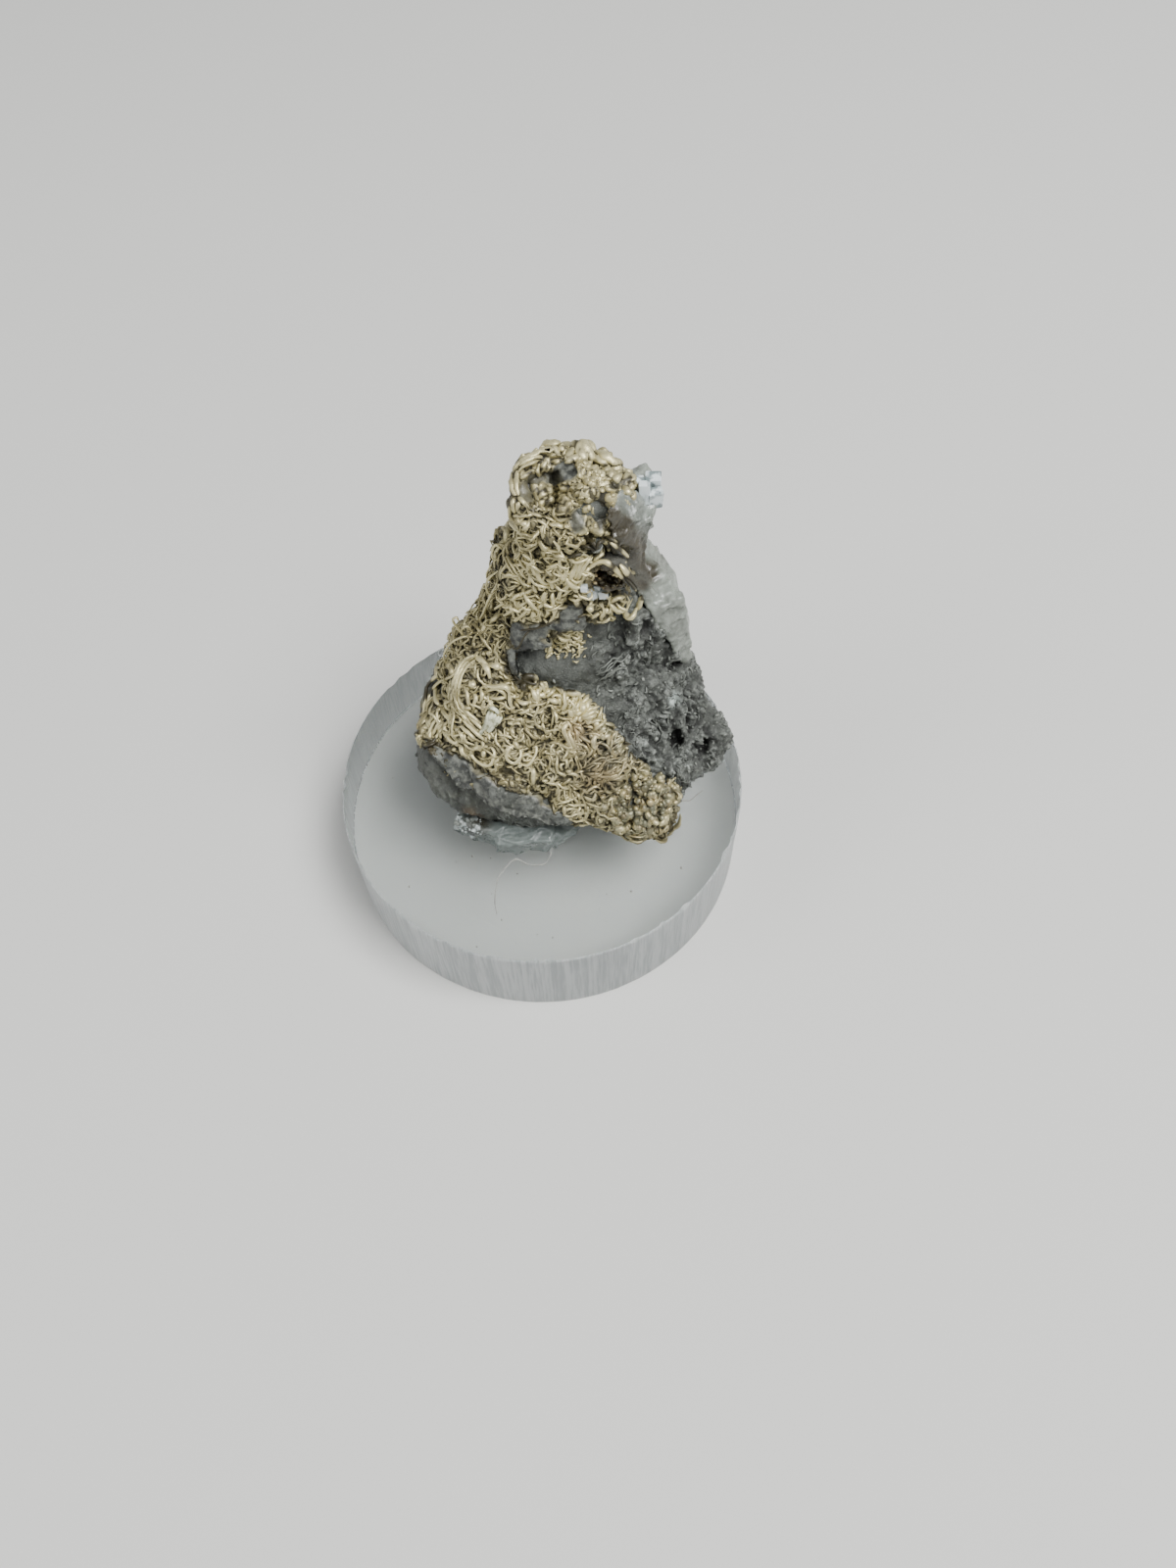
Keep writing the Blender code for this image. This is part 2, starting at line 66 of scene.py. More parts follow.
MM = 0.001
BODY = "root"
MERGE = 0.0000005
BASE_LOW, BASE_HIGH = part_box("acrylic_disc")
TOP = BASE_HIGH.z
BASE_RADIUS = BASE_HIGH.x / MM
BASE_DEPTH = (BASE_HIGH.z - BASE_LOW.z) / MM
CEILING = (max(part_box(node)[1].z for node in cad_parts) - TOP) / MM - 0.02
# The camera as it was fitted to the base's two rims: elevation, distance in base radii, then turns
CAMERA_ELEVATION = math.radians(57.91)
CAMERA_DISTANCE = 5.899 * BASE_RADIUS * MM
CAMERA_YAW = math.radians(2.20)
CAMERA_PITCH = math.radians(-0.54)
CAMERA_ROLL = math.radians(-5.04)
CAMERA_LENS, CAMERA_SENSOR = 27.0, 36.0
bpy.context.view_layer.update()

# The upright line that places round the specimen are measured from
AXIS = Vector((2.2, 2.8, 0.0))

# The edge of the small faces of each remeshed shape; the rock's is among the settings
FINENESS = {"ridge": 0.11, "foot": 0.09, "ground": 0.2, "felt": 0.145, "crown": 0.085}

# Where each series of chances starts
SEEDS = {"fibres": 14, "threads": 15, "neck": 21, "belly": 31, "flank": 41, "curls": 51, "crown": 61,
         "tangle": 62, "crystals": 71, "base": 91, "dust": 95}


def length_setting(label, text, millimetres):
    """A length among the settings."""
    return FloatProperty(
        name=label, description=text, default=millimetres * MM, unit="LENGTH", precision=6)


def colour_setting(label, text, default):
    """A colour among the settings."""
    return FloatVectorProperty(
        name=label, description=text, subtype="COLOR", default=default, min=0.0, max=1.0)


class BaseSettings(bpy.types.PropertyGroup):
    """The clear base."""
    segments: IntProperty(name="Segments", description="Steps round the rim", default=900)
    saw_depth: length_setting("Saw marks", "Depth of the upright saw marks in the side wall", 0.035)
    chamfer: length_setting("Chamfer", "Width of the broken edge", 0.1)
    chips: IntProperty(name="Chips", description="Small chips in the upper rim", default=34)
    chip_size: length_setting("Chip size", "Width of the largest chip", 0.55)
    tint: colour_setting("Tint", "Colour of the clear plastic", (0.96, 0.985, 0.98))


class RockSettings(bpy.types.PropertyGroup):
    """The dark sulphide rock."""
    fineness: length_setting("Fineness", "Edge of the rock's small faces", 0.135)
    grain: length_setting("Grain", "Height of the rock's grains", 0.4)
    fibres: IntProperty(
        name="Fibres", description="Short grey fibres on the rock's rough side", default=1500)
    dark: colour_setting("Dark", "Colour of the smooth dark rock", (0.046, 0.050, 0.043))
    light: colour_setting("Light", "Colour of the rock's pale grains", (0.36, 0.38, 0.34))


class SilverSettings(bpy.types.PropertyGroup):
    """The wires and nodules of native silver."""
    radius: length_setting("Wire radius", "Radius of a middling wire", 0.1)
    sides: IntProperty(name="Sides", description="Faces round a wire", default=5, min=3)
    belly_wires: IntProperty(name="Belly wires", description="Wires on the belly", default=3600)
    neck_wires: IntProperty(name="Neck wires", description="Wires on the neck", default=2200)
    flank_wires: IntProperty(
        name="Flank wires", description="Wires on the left flank and the back", default=1800)
    pale: colour_setting("Pale", "Colour of the brightest silver", (0.70, 0.64, 0.37))
    tarnish: colour_setting("Tarnish", "Colour of tarnished silver", (0.29, 0.25, 0.125))
    # Painted shade, with some soiling: this dark brown goes on the low parts of the wires and the felt,
    # where shade falls between them
    crevice_shade_and_dirt: colour_setting("Crevice", "Colour of the dirt between the wires", (0.032, 0.027, 0.012))


class CalciteSettings(bpy.types.PropertyGroup):
    """The pale calcite and the white crystals."""
    step: length_setting("Cleavage step", "Height of a cleavage step", 0.9)
    pale: colour_setting("Pale", "Colour of clean calcite", (0.245, 0.266, 0.232))
    # This brown serves the real stains and also the band beside the crown, which is partly painted shadow
    stain: colour_setting("Stain", "Colour of the brown stains", (0.045, 0.039, 0.024))


class StageSettings(bpy.types.PropertyGroup):
    """The floor, the lights and the camera."""
    floor: colour_setting("Floor", "Colour of the floor", (0.60, 0.60, 0.575))
    sky: FloatProperty(name="Sky", description="Strength of the even light", default=0.30)
    key: FloatProperty(name="Key", description="Power of the upper softbox, in watts", default=3.7)
    fill: FloatProperty(name="Fill", description="Power of the side softbox, in watts", default=0.7)


class SpecimenSettings(bpy.types.PropertyGroup):
    """Everything that a user would change."""
    base: PointerProperty(type=BaseSettings)
    rock: PointerProperty(type=RockSettings)
    silver: PointerProperty(type=SilverSettings)
    calcite: PointerProperty(type=CalciteSettings)
    stage: PointerProperty(type=StageSettings)


def settings():
    """The scene's settings for the specimen."""
    return bpy.context.scene.specimen


class Value:
    """An output of a node that takes part in Python expressions by adding Math nodes."""

    def __init__(self, net, socket):
        self.net = net
        self.socket = socket

    def maths(self, operation, first, second):
        return self.net.node("ShaderNodeMath", {"operation": operation}, {0: first, 1: second})

    def __add__(self, other):
        return self.maths("ADD", self, other)

    def __radd__(self, other):
        return self.maths("ADD", other, self)

    def __sub__(self, other):
        return self.maths("SUBTRACT", self, other)

    def __rsub__(self, other):
        return self.maths("SUBTRACT", other, self)

    def __mul__(self, other):
        return self.maths("MULTIPLY", self, other)

    def __pow__(self, other):
        return self.maths("POWER", self, other)


class Net:
    """A node tree that is written as expressions."""

    def __init__(self, tree):
        self.tree = tree

    def node(self, kind, options=None, inputs=None, output=0):
        """Add a node: its options first, then the values or links of its sockets."""
        made = self.tree.nodes.new(kind)
        for option, value in (options or {}).items():
            setattr(made, option, value)
        for key, value in (inputs or {}).items():
            if isinstance(value, Value):
                self.tree.links.new(value.socket, made.inputs[key])
            else:
                made.inputs[key].default_value = value
        return Value(self, made.outputs[output]) if made.outputs else made

    def spread(self, value, low, high, start=0.0, end=1.0):
        """Carry a value from one range to another, smoothly and within bounds."""
        options = {"interpolation_type": "SMOOTHSTEP", "clamp": True}
        return self.node("ShaderNodeMapRange", options, {0: value, 1: low, 2: high, 3: start, 4: end})

    def vectors(self, operation, first, second, output=0):
        """Add a Vector Math node."""
        inputs = {0: first, "Scale" if operation == "SCALE" else 1: second}
        return self.node("ShaderNodeVectorMath", {"operation": operation}, inputs, output)


class Finish(Net):
    """A material's node tree, whose patterns are in the specimen's millimetres."""

    def __init__(self, name):
        self.material = bpy.data.materials.new(name)
        self.material.use_nodes = True
        super().__init__(self.material.node_tree)
        self.tree.nodes.clear()
        where = self.node("ShaderNodeTexCoord", output="Object")
        placing = {"Vector": where, "Location": (0, 0, -TOP / MM), "Scale": (1 / MM,) * 3}
        self.place = self.node("ShaderNodeMapping", None, placing)

    def upright(self, share):
        """The place with its height scaled down, for patterns that run up and down."""
        return self.vectors("MULTIPLY", self.place, (1.0, 1.0, share))

    def noise(self, scale, detail=4.0, roughness=0.55, place=None, distortion=0.0):
        """Soft noise, here or at another place."""
        inputs = {"Vector": place or self.place, "Scale": scale, "Detail": detail,
                  "Roughness": roughness, "Distortion": distortion}
        return self.node("ShaderNodeTexNoise", None, inputs)

    def patches(self, low, high, scale, detail=4.0, roughness=0.55, place=None):
        """Soft patches: nothing where the noise is low, one where it is high."""
        return self.spread(self.noise(scale, detail, roughness, place), low, high)

    def near(self, centre, reach):
        """One at a place in the specimen, nothing from the reach outwards."""
        gap = self.vectors("DISTANCE", self.place, centre, "Value")
        return self.spread(gap, 0.0, reach, 1.0, 0.0)

    def mix(self, share, first, second):
        """Blend two colours by a share."""
        first, second = [(*c, 1.0) if isinstance(c, tuple) else c for c in (first, second)]
        return self.node("ShaderNodeMix", {"data_type": "RGBA"}, {0: share, 6: first, 7: second}, 2)

    def layered(self, shade, layers):
        """Lay colours over a shade, each by its share."""
        for share, over in layers:
            shade = self.mix(share, shade, over)
        return shade

    def attribute(self, name):
        """A number that the mesh carries at each point."""
        options = {"attribute_type": "GEOMETRY", "attribute_name": name}
        return self.node("ShaderNodeAttribute", options, None, "Fac")

    def bump(self, height, depth, strength):
        """A small relief of that depth in millimetres."""
        inputs = {"Height": height, "Distance": depth * MM, "Strength": strength}
        return self.node("ShaderNodeBump", None, inputs)

    def surface(self, **inputs):
        """Close the material with a Principled shader."""
        named = {key.replace("_", " "): value for key, value in inputs.items()}
        for key, value in named.items():
            if isinstance(value, tuple) and len(value) == 3 and "Radius" not in key:
                named[key] = (*value, 1.0)
        shader = self.node("ShaderNodeBsdfPrincipled", None, named)
        self.node("ShaderNodeOutputMaterial", None, {"Surface": shader})
        return self.material


def colour(value):
    """A colour property as a plain tuple."""
    return tuple(value[:3])


def polished_plastic():
    """The clear faces of the base, with faint smears."""
    net = Finish("clear_plastic")
    smear = net.spread(net.noise(0.35, 3.0), 0.45, 0.75, 0.015, 0.06)
    return net.surface(Base_Color=colour(settings().base.tint), Roughness=smear, IOR=1.49,
                       Transmission_Weight=1.0)


def sawn_plastic():
    """The base's side wall, frosted by the saw with upright streaks."""
    net = Finish("sawn_plastic")
    streaks = net.noise(1.6, 3.0, 0.7, net.upright(0.03))
    fine = net.noise(7.0, 2.0, 0.6, net.upright(0.05))
    rough = net.spread(streaks + fine * 0.4, 0.5, 0.95, 0.28, 0.5)
    clear = net.spread(streaks * 0.6 + fine * 0.5, 0.42, 0.66)
    tone = net.mix(clear, (0.50, 0.55, 0.55), (0.95, 0.98, 0.98))
    relief = net.bump(streaks + fine * 0.6, 0.08, 1.0)
    return net.surface(Base_Color=tone, Roughness=rough, IOR=1.49, Transmission_Weight=0.8,
                       Normal=relief)


def dark_rock():
    """Sulphide rock: blue-grey and smooth on the face, speckled and grainy to the right."""
    look = settings().rock
    net = Finish("dark_rock")
    grain = net.attribute("grain")
    broad = net.patches(0.34, 0.68, 0.7, 6.0, 0.62)
    fine = net.patches(0.40, 0.66, 4.5, 5.0, 0.65)
    streak = net.patches(0.42, 0.68, 2.0, 5.0, 0.7, net.upright(0.3))
    thread = net.patches(0.44, 0.60, 4.2, 4.0, 0.7, net.upright(0.35))
    share = broad * 0.12 + fine * 0.10 + streak * 0.08 + grain * (0.04 + fine * 0.5 + thread * 0.75)
    glint = grain * net.patches(0.52, 0.62, 5.5, 4.0, 0.7, net.upright(0.45))
    olive = net.near((-4.4, -3.8, 4.0), 6.0) * net.patches(0.36, 0.66, 1.1, 5.0, 0.6)
    pale = net.near((7.96, -0.53, 7.97), 0.7) * net.patches(0.36, 0.46, 2.6, 3.0)
    brown = net.near((4.1, 0.5, 18.3), 1.9) + net.near((-4.3, -3.8, 2.8), 1.0)
    # Painted shade: the seams between the grains, the gullies and the pits are laid in nearly black
    tone = net.layered(colour(look.dark), (
        (share, colour(look.light)), (glint, (0.44, 0.48, 0.44)),
        (net.attribute("seam"), (0.007, 0.007, 0.006)), (olive * 0.45, (0.12, 0.125, 0.095)),
        (pale, (0.60, 0.68, 0.63)), (brown, (0.12, 0.082, 0.042))))
    rough = net.spread(net.noise(3.0, 4.0), 0.35, 0.7, 0.34, 0.6)
    relief = net.bump(net.noise(9.0, 6.0, 0.7) + fine * 0.5, 0.07, 0.8)
    return net.surface(Base_Color=tone, Roughness=rough, Metallic=fine * 0.35, Normal=relief)


# Where the solids are drawn in a little to meet the outline: place, reach and shift
DRAWN_IN = (
    ((9.0, -5.2, 2.0), 3.6, (-0.75, 0.07, 0.0)), ((7.4, 2.0, 18.4), 2.8, (-0.9, 0.0, 0.0)),
    ((8.0, 4.0, 16.2), 3.4, (-1.4, 0.0, 0.0)), ((7.0, 1.2, 21.0), 1.8, (-0.5, 0.0, 0.0)),
    ((-1.1, 2.3, 18.9), 2.8, (1.0, 0.0, 0.0)), ((-2.6, 2.6, 14.2), 3.4, (1.55, 0.0, 0.0)),
    ((-0.6, 2.4, 21.8), 2.0, (0.1, 0.0, 0.0)), ((4.6, 3.8, 23.2), 2.2, (0.0, 0.0, -0.6)),
)


def drawn_in(place):
    """Where a place of the solids goes."""
    moved = place.copy()
    for centre, reach, shift in DRAWN_IN:
        moved += Vector(shift) * nearness(place, centre, reach)
    return moved


def camera_axes():
    """The direction to the camera, and its right, up and ahead directions."""
    away = Vector((0, -math.cos(CAMERA_ELEVATION), math.sin(CAMERA_ELEVATION)))
    ahead, right = -away, Vector((1, 0, 0))
    up = right.cross(ahead)
    ahead, right = (Quaternion(up, -CAMERA_YAW) @ axis for axis in (ahead, right))
    ahead, up = (Quaternion(right, CAMERA_PITCH) @ axis for axis in (ahead, up))
    right, up = (Quaternion(ahead, -CAMERA_ROLL) @ axis for axis in (right, up))
    return away, right, up, ahead


AWAY, RIGHT, UP, AHEAD = camera_axes()
EYE = AWAY * CAMERA_DISTANCE / MM

# The front view's middle and focal length, in the units of every table of its places
VIEW_ACROSS, VIEW_DOWN, VIEW_FOCAL = 600, 800, 1200

# The step along a traced wire, how far a ray that meets nothing goes, and the largest jump in depth
TRACE_STEP = 3.2
NOWHERE = 1000.0
JUMP = 0.3


def seen(place):
    """Where a place shows in the front view, across and down."""
    arm = place - EYE
    depth = arm.dot(AHEAD)
    return (VIEW_ACROSS + VIEW_FOCAL * arm.dot(RIGHT) / depth,
            VIEW_DOWN - VIEW_FOCAL * arm.dot(UP) / depth)


def traced(skins, corners, rise):
    """A smooth line through corners of the front view, laid on what shows there and lifted."""
    corners = [Vector((across, down, 0)) for across, down in corners]
    length = sum((after - before).length for before, after in zip(corners, corners[1:]))
    flat = smooth_line(corners, max(4, round(length / TRACE_STEP) + 1))
    left, top = VIEW_ACROSS / VIEW_FOCAL, VIEW_DOWN / VIEW_FOCAL
    rays = [(AHEAD + RIGHT * (p.x / VIEW_FOCAL - left) - UP * (p.y / VIEW_FOCAL - top)).normalized()
            for p in flat]
    found = []
    for ray in rays:
        hits = [hit[3] for hit in (skin.tree.ray_cast(EYE, ray) for skin in skins) if hit[0]]
        found.append(min(hits, default=NOWHERE))
    order = range(len(found))
    first = min(order, key=lambda number: found[number])
    if found[first] == NOWHERE:
        return []
    for number in [*range(first - 1, -1, -1), *range(first + 1, len(found))]:
        beside = found[number + 1 if number < first else number - 1]
        found[number] = min(max(found[number], beside - JUMP), beside + JUMP)
    smooth = found
    for _ in range(3):
        padded = [smooth[0], *smooth, smooth[-1]]
        smooth = [(a + 2 * b + c) / 4 for a, b, c in zip(padded, padded[1:], padded[2:])]
    path = []
    for number, ray in enumerate(rays):
        lift = rise * (0.4 + 0.6 * math.sin(math.pi * number / (len(rays) - 1)))
        path.append(EYE + ray * (min(smooth[number], found[number]) - lift))
    return path


def draped(core, corners, count, rise):
    """A smooth line through corners, laid on the core and lifted in its middle."""
    path = []
    for number, place in enumerate(smooth_line(corners, count)):
        near, normal = core.near(place)
        path.append(near + normal * (rise * math.sin(math.pi * number / (count - 1)) + 0.02))
    return path


# Wires that stand out in the front view: thickness, tone, and the corners across and down
NECK_TRACES = (
    (1.7, 0, 559, 534, 552, 541, 545, 547, 538, 554), (2.0, 0, 519, 532, 518, 540, 518, 548, 518, 557),
    (1.4, .2, 516, 550, 510, 557, 506, 565, 504, 573),
    (.8, .1, 507, 570, 501, 577, 497, 585, 498, 590, 507, 589),
    (1.3, .1, 513, 584, 508, 595, 503, 604, 498, 614, 494, 624, 489, 634, 484, 643),
    (1.5, .3, 501, 600, 495, 610, 491, 620, 489, 630), (1.1, .2, 532, 553, 528, 561, 525, 569, 524, 577),
    (1.5, 0, 514, 580, 522, 577, 530, 576, 537, 577), (1.2, .2, 535, 557, 538, 565, 543, 571, 550, 571),
    (1.5, 0, 550, 545, 553, 553, 555, 561, 556, 570), (1.6, 0, 558, 547, 564, 554, 570, 560, 576, 568),
    (1.1, .3, 556, 541, 563, 546, 569, 552, 575, 559), (1.5, 0, 575, 570, 582, 567, 590, 566, 597, 563),
    (1.6, 0, 590, 573, 586, 581, 581, 589, 575, 597), (1.3, .2, 597, 569, 592, 577, 588, 586, 582, 596),
    (1.5, .3, 603, 566, 598, 575, 593, 583, 588, 592, 583, 601), (1.4, .1, 580, 580, 576, 587, 572, 595),
    (1.2, .4, 604, 576, 598, 583, 593, 592, 588, 600),
    (1.5, .3, 597, 584, 602, 578, 609, 574, 617, 573, 624, 577, 631, 584, 637, 591, 642, 597),
    (1.3, .2, 605, 572, 611, 568, 616, 563), (1.8, 0, 633, 576, 639, 584, 645, 590, 650, 598),
    (1.4, .1, 637, 587, 643, 594, 649, 602), (1.4, .2, 609, 560, 611, 554, 616, 552, 620, 556, 621, 562),
    (1.2, .3, 592, 551, 599, 550, 605, 553, 608, 559), (1.1, .4, 585, 558, 593, 557, 601, 558, 607, 562),
    (1.4, .3, 597, 545, 606, 546, 615, 549, 624, 554, 632, 560, 641, 568),
    (1.2, .4, 603, 543, 613, 545, 622, 549, 630, 554), (2.4, 0, 617, 622, 622, 623),
    (3.2, 0, 627, 621, 632, 622), (2.2, 0, 637, 625, 642, 631, 646, 628, 649, 621),
    (1.8, .2, 650, 622, 653, 615, 655, 608), (1.7, .2, 624, 614, 630, 610, 637, 609),
    (1.9, .2, 585, 609, 588, 615, 593, 620), (2.0, .1, 600, 619, 605, 622),
    (1.5, .2, 598, 634, 606, 629, 613, 624), (1.2, .3, 590, 630, 597, 627, 603, 628),
    (1.4, .1, 549, 580, 549, 588, 553, 594, 561, 596, 570, 596), (1.2, .2, 556, 582, 563, 579, 570, 577),
    (1.1, .2, 528, 583, 531, 590, 535, 596, 541, 597), (1.2, .2, 512, 590, 519, 586, 525, 587),
    (1.1, .2, 541, 582, 541, 591, 539, 600), (1.6, .1, 549, 612, 541, 619, 533, 627, 524, 634),
    (1.2, .2, 546, 609, 536, 615, 525, 622, 514, 628), (1.4, .1, 524, 614, 514, 616, 505, 621),
    (1.9, 0, 512, 626, 505, 631, 499, 636), (1.5, 0, 541, 618, 538, 627),
    (1.3, .1, 551, 611, 549, 620, 550, 630, 553, 637), (1.4, .2, 556, 618, 560, 624, 556, 631),
    (1.2, .2, 564, 612, 568, 620, 565, 628, 560, 636, 551, 638),
    (1.1, .3, 513, 612, 522, 610, 532, 610, 541, 607), (1.6, 0, 497, 634, 494, 641, 492, 648),
    (1.5, 0, 558, 566, 565, 565), (1.3, .1, 558, 578, 565, 577, 571, 574),
    (.7, .2, 568, 632, 560, 637, 551, 640, 543, 642, 531, 643),
    (.7, .2, 541, 643, 536, 648, 532, 655, 529, 661, 523, 662), (1.6, .7, 606, 586, 609, 587),
    (1.8, .6, 611, 590, 614, 591), (1.5, .6, 616, 586, 619, 587), (1.7, .8, 613, 594, 616, 594),
    (1.6, .6, 621, 589, 624, 590), (1.5, .7, 628, 591, 630, 593), (1.4, .8, 606, 594, 609, 595),
    (1.6, .6, 625, 597, 628, 598), (1.3, .8, 617, 597, 620, 598), (1.3, .7, 621, 583, 624, 584),
    (1.5, .4, 628, 585, 631, 588), (1.2, .8, 632, 596, 635, 598),
)


# The same on the belly: the great arch at its upper left first
BELLY_TRACES = (
    (1.3, 0, 487, 669, 478, 674, 471, 682, 467, 691, 465, 702, 465, 713, 469, 725, 476, 735, 485,
     743, 492, 749),
    (1.2, 0, 485, 668, 476, 672, 468, 681, 464, 692, 462, 703, 462, 714, 465, 725, 471, 734),
    (1.1, .1, 488, 671, 481, 676, 474, 684, 470, 693, 468, 704, 468, 714, 472, 724, 480, 734, 488, 742),
    (1.0, .2, 470, 682, 465, 690, 461, 700, 460, 712, 462, 722, 466, 730),
    (1.4, 0, 484, 669, 490, 673, 495, 679, 498, 685, 500, 692), (1.1, .1, 486, 669, 493, 674, 499, 682),
    (2.0, 0, 500, 679, 507, 679, 510, 683), (2.1, 0, 480, 697, 485, 699),
    (1.5, .1, 491, 702, 497, 700, 505, 701, 512, 700, 518, 703, 520, 710, 521, 718, 525, 726),
    (1.0, .2, 497, 706, 503, 703, 510, 704, 515, 708, 517, 714), (2.0, 0, 510, 700, 516, 701, 521, 703),
    (1.2, .1, 500, 711, 506, 713, 512, 712, 517, 711),
    (1.2, .7, 469, 708, 471, 718, 477, 727, 484, 733, 489, 738),
    (.9, .4, 474, 700, 477, 708, 478, 716, 481, 724), (1.1, .1, 483, 706, 486, 712, 483, 720, 485, 726),
    (1.0, .3, 490, 702, 492, 710, 490, 717),
    (1.5, .2, 452, 686, 443, 692, 436, 700, 434, 710, 433, 720, 432, 730, 430, 739, 428, 746),
    (1.2, .3, 458, 690, 447, 697, 440, 705, 437, 714, 436, 724, 436, 734),
    (1.2, .1, 445, 701, 444, 709, 446, 717, 450, 720), (1.3, .1, 450, 722, 456, 731, 462, 739, 468, 744),
    (1.2, .1, 456, 741, 456, 748, 459, 754, 464, 758, 467, 756, 465, 749, 460, 743, 456, 741),
    (1.3, .2, 468, 746, 472, 752, 476, 759), (1.1, .3, 446, 728, 440, 734, 436, 741, 433, 748),
    (1.1, .2, 449, 730, 443, 737, 439, 744, 436, 751), (1.0, .5, 452, 733, 447, 739, 443, 746, 440, 752),
    (1.2, .2, 455, 738, 450, 745, 446, 751, 441, 757, 434, 760),
    (1.0, .3, 450, 752, 443, 758, 435, 761, 430, 758), (1.0, .4, 476, 728, 484, 736, 492, 744, 497, 749),
    (1.2, .3, 471, 733, 479, 741, 487, 749, 494, 755), (1.1, .3, 470, 741, 478, 748, 486, 755),
    (1.4, .1, 470, 760, 472, 768, 478, 776),
    (1.2, 0, 529, 763, 523, 761, 518, 765, 516, 771, 519, 777, 525, 779, 530, 775, 532, 769, 530, 763),
    (1.4, 0, 498, 762, 489, 762, 482, 765, 481, 770, 486, 776, 493, 781, 500, 781, 504, 776, 505,
     768, 502, 763),
    (1.1, .2, 494, 765, 493, 773), (1.3, 0, 532, 779, 538, 781, 543, 776, 547, 768, 547, 761),
    (1.2, .1, 532, 772, 538, 769, 541, 770), (1.3, 0, 540, 787, 544, 786, 544, 793, 544, 800),
    (1.4, .1, 584, 739, 578, 739, 575, 745, 578, 752, 582, 759, 584, 767),
    (1.1, .4, 581, 742, 581, 750, 585, 758, 588, 764), (1.2, .2, 586, 741, 592, 743, 595, 749),
    (2.2, 0, 534, 702, 534, 696, 538, 691, 544, 691, 547, 696, 545, 701), (1.4, 0, 540, 696, 541, 703),
    (1.5, 0, 542, 700, 545, 708, 549, 716), (1.3, .1, 550, 700, 548, 707, 550, 714),
    (1.6, 0, 555, 707, 560, 705, 566, 709), (1.8, 0, 560, 713, 566, 715, 570, 717),
    (1.4, .1, 528, 714, 534, 718, 540, 716), (1.2, .2, 529, 727, 536, 726, 541, 722),
    (1.6, 0, 583, 719, 582, 726, 584, 733), (1.6, 0, 588, 718, 588, 726, 589, 734),
    (1.7, 0, 597, 716, 594, 723, 595, 731), (1.5, 0, 603, 713, 599, 719, 600, 727),
)


# The white ribbon on the belly, strand by strand
RIBBON_TRACES = (
    (1.0, 0, 500, 723, 498, 730, 496, 737, 493, 744, 489, 751),
    (1.0, 0, 503, 724, 501, 731, 498, 738, 494, 745), (1.0, 0, 506, 726, 504, 732, 501, 739, 497, 746),
    (1.0, 0, 509, 728, 507, 734, 504, 740, 499, 747), (.9, 0, 512, 731, 509, 736, 506, 741),
    (1.0, 0, 498, 722, 504, 723, 511, 729),
)


# The small branching cluster of silver on the dark face
FACE_TRACES = (
    (1.4, .2, 556, 643, 560, 648, 563, 653), (1.2, .3, 568, 643, 563, 648, 560, 655),
    (1.7, .1, 560, 657, 562, 662, 559, 666), (1.3, .3, 565, 653, 572, 656, 579, 653),
    (1.1, .3, 573, 647, 580, 645, 586, 647), (1.1, .2, 583, 648, 589, 652, 592, 648),
    (1.0, .3, 590, 655, 592, 662, 591, 669), (1.1, .4, 575, 658, 583, 657, 589, 660),
    (1.5, .2, 572, 640, 578, 637, 586, 636), (1.2, .3, 578, 644, 584, 641, 589, 638),
    (1.1, .5, 566, 660, 571, 664), (.9, .3, 594, 648, 590, 645, 586, 642),
    (1.0, .4, 569, 649, 575, 651, 580, 650), (1.0, .5, 571, 661, 577, 660, 581, 663),
)


# The crown's rim and the tangle below it
RIM_TRACES = (
    (1.8, 0, 566, 457, 557, 459, 549, 461, 541, 465, 533, 470, 527, 476, 524, 483),
    (1.6, 0, 553, 466, 545, 466, 537, 470, 530, 475), (1.1, .2, 549, 470, 541, 473, 533, 477, 528, 483),
    (1.6, .2, 558, 470, 554, 476, 551, 484), (1.2, .2, 550, 474, 548, 481, 550, 486),
    (1.4, .1, 544, 480, 537, 484, 531, 489), (1.5, .1, 523, 482, 522, 490, 523, 498, 526, 506),
    (1.4, .1, 528, 481, 527, 490, 527, 498, 529, 506), (1.2, .2, 517, 479, 521, 480),
    (.9, .2, 529, 469, 533, 465), (1.6, 0, 529, 507, 535, 513, 541, 519),
    (2.0, .1, 521, 516, 521, 523, 522, 530), (1.7, .1, 525, 526, 534, 526, 544, 525),
    (1.4, .7, 543, 520, 554, 522, 565, 527, 576, 534, 583, 541),
    (1.1, .6, 538, 523, 550, 526, 560, 529, 570, 534), (1.8, 0, 521, 533, 527, 539, 533, 544, 539, 549),
    (2.0, 0, 531, 532, 538, 536), (1.7, 0, 563, 535, 570, 536, 575, 539),
    (1.5, .1, 524, 509, 523, 516, 526, 523), (1.3, .2, 530, 512, 528, 519, 531, 526),
    (1.2, .3, 548, 530, 555, 534, 560, 540), (1.4, .2, 517, 536, 513, 542, 511, 549),
    (1.3, .3, 541, 530, 536, 539, 528, 545),
)


def in_front(place):
    """Whether a place on the crown belongs to the side that shows in the front view."""
    return ramp(place.dot(AWAY), 15.9, 16.3)


def crater_share(place):
    """How far a place belongs to the crown's crater."""
    across, down = seen(place)
    return in_front(place) * ramp(math.hypot((across - 560) / 30, (down - 503) / 24), 1.2, 0.95)


def trace_all(bundle, skins, traces, rise, share=1.0):
    """Add every traced wire of a table to a bundle."""
    for thick, tone, *parts in traces:
        path = traced(skins, tuple(zip(parts[::2], parts[1::2])), rise)
        if path:
            bundle.add(path, thick * share, tone)


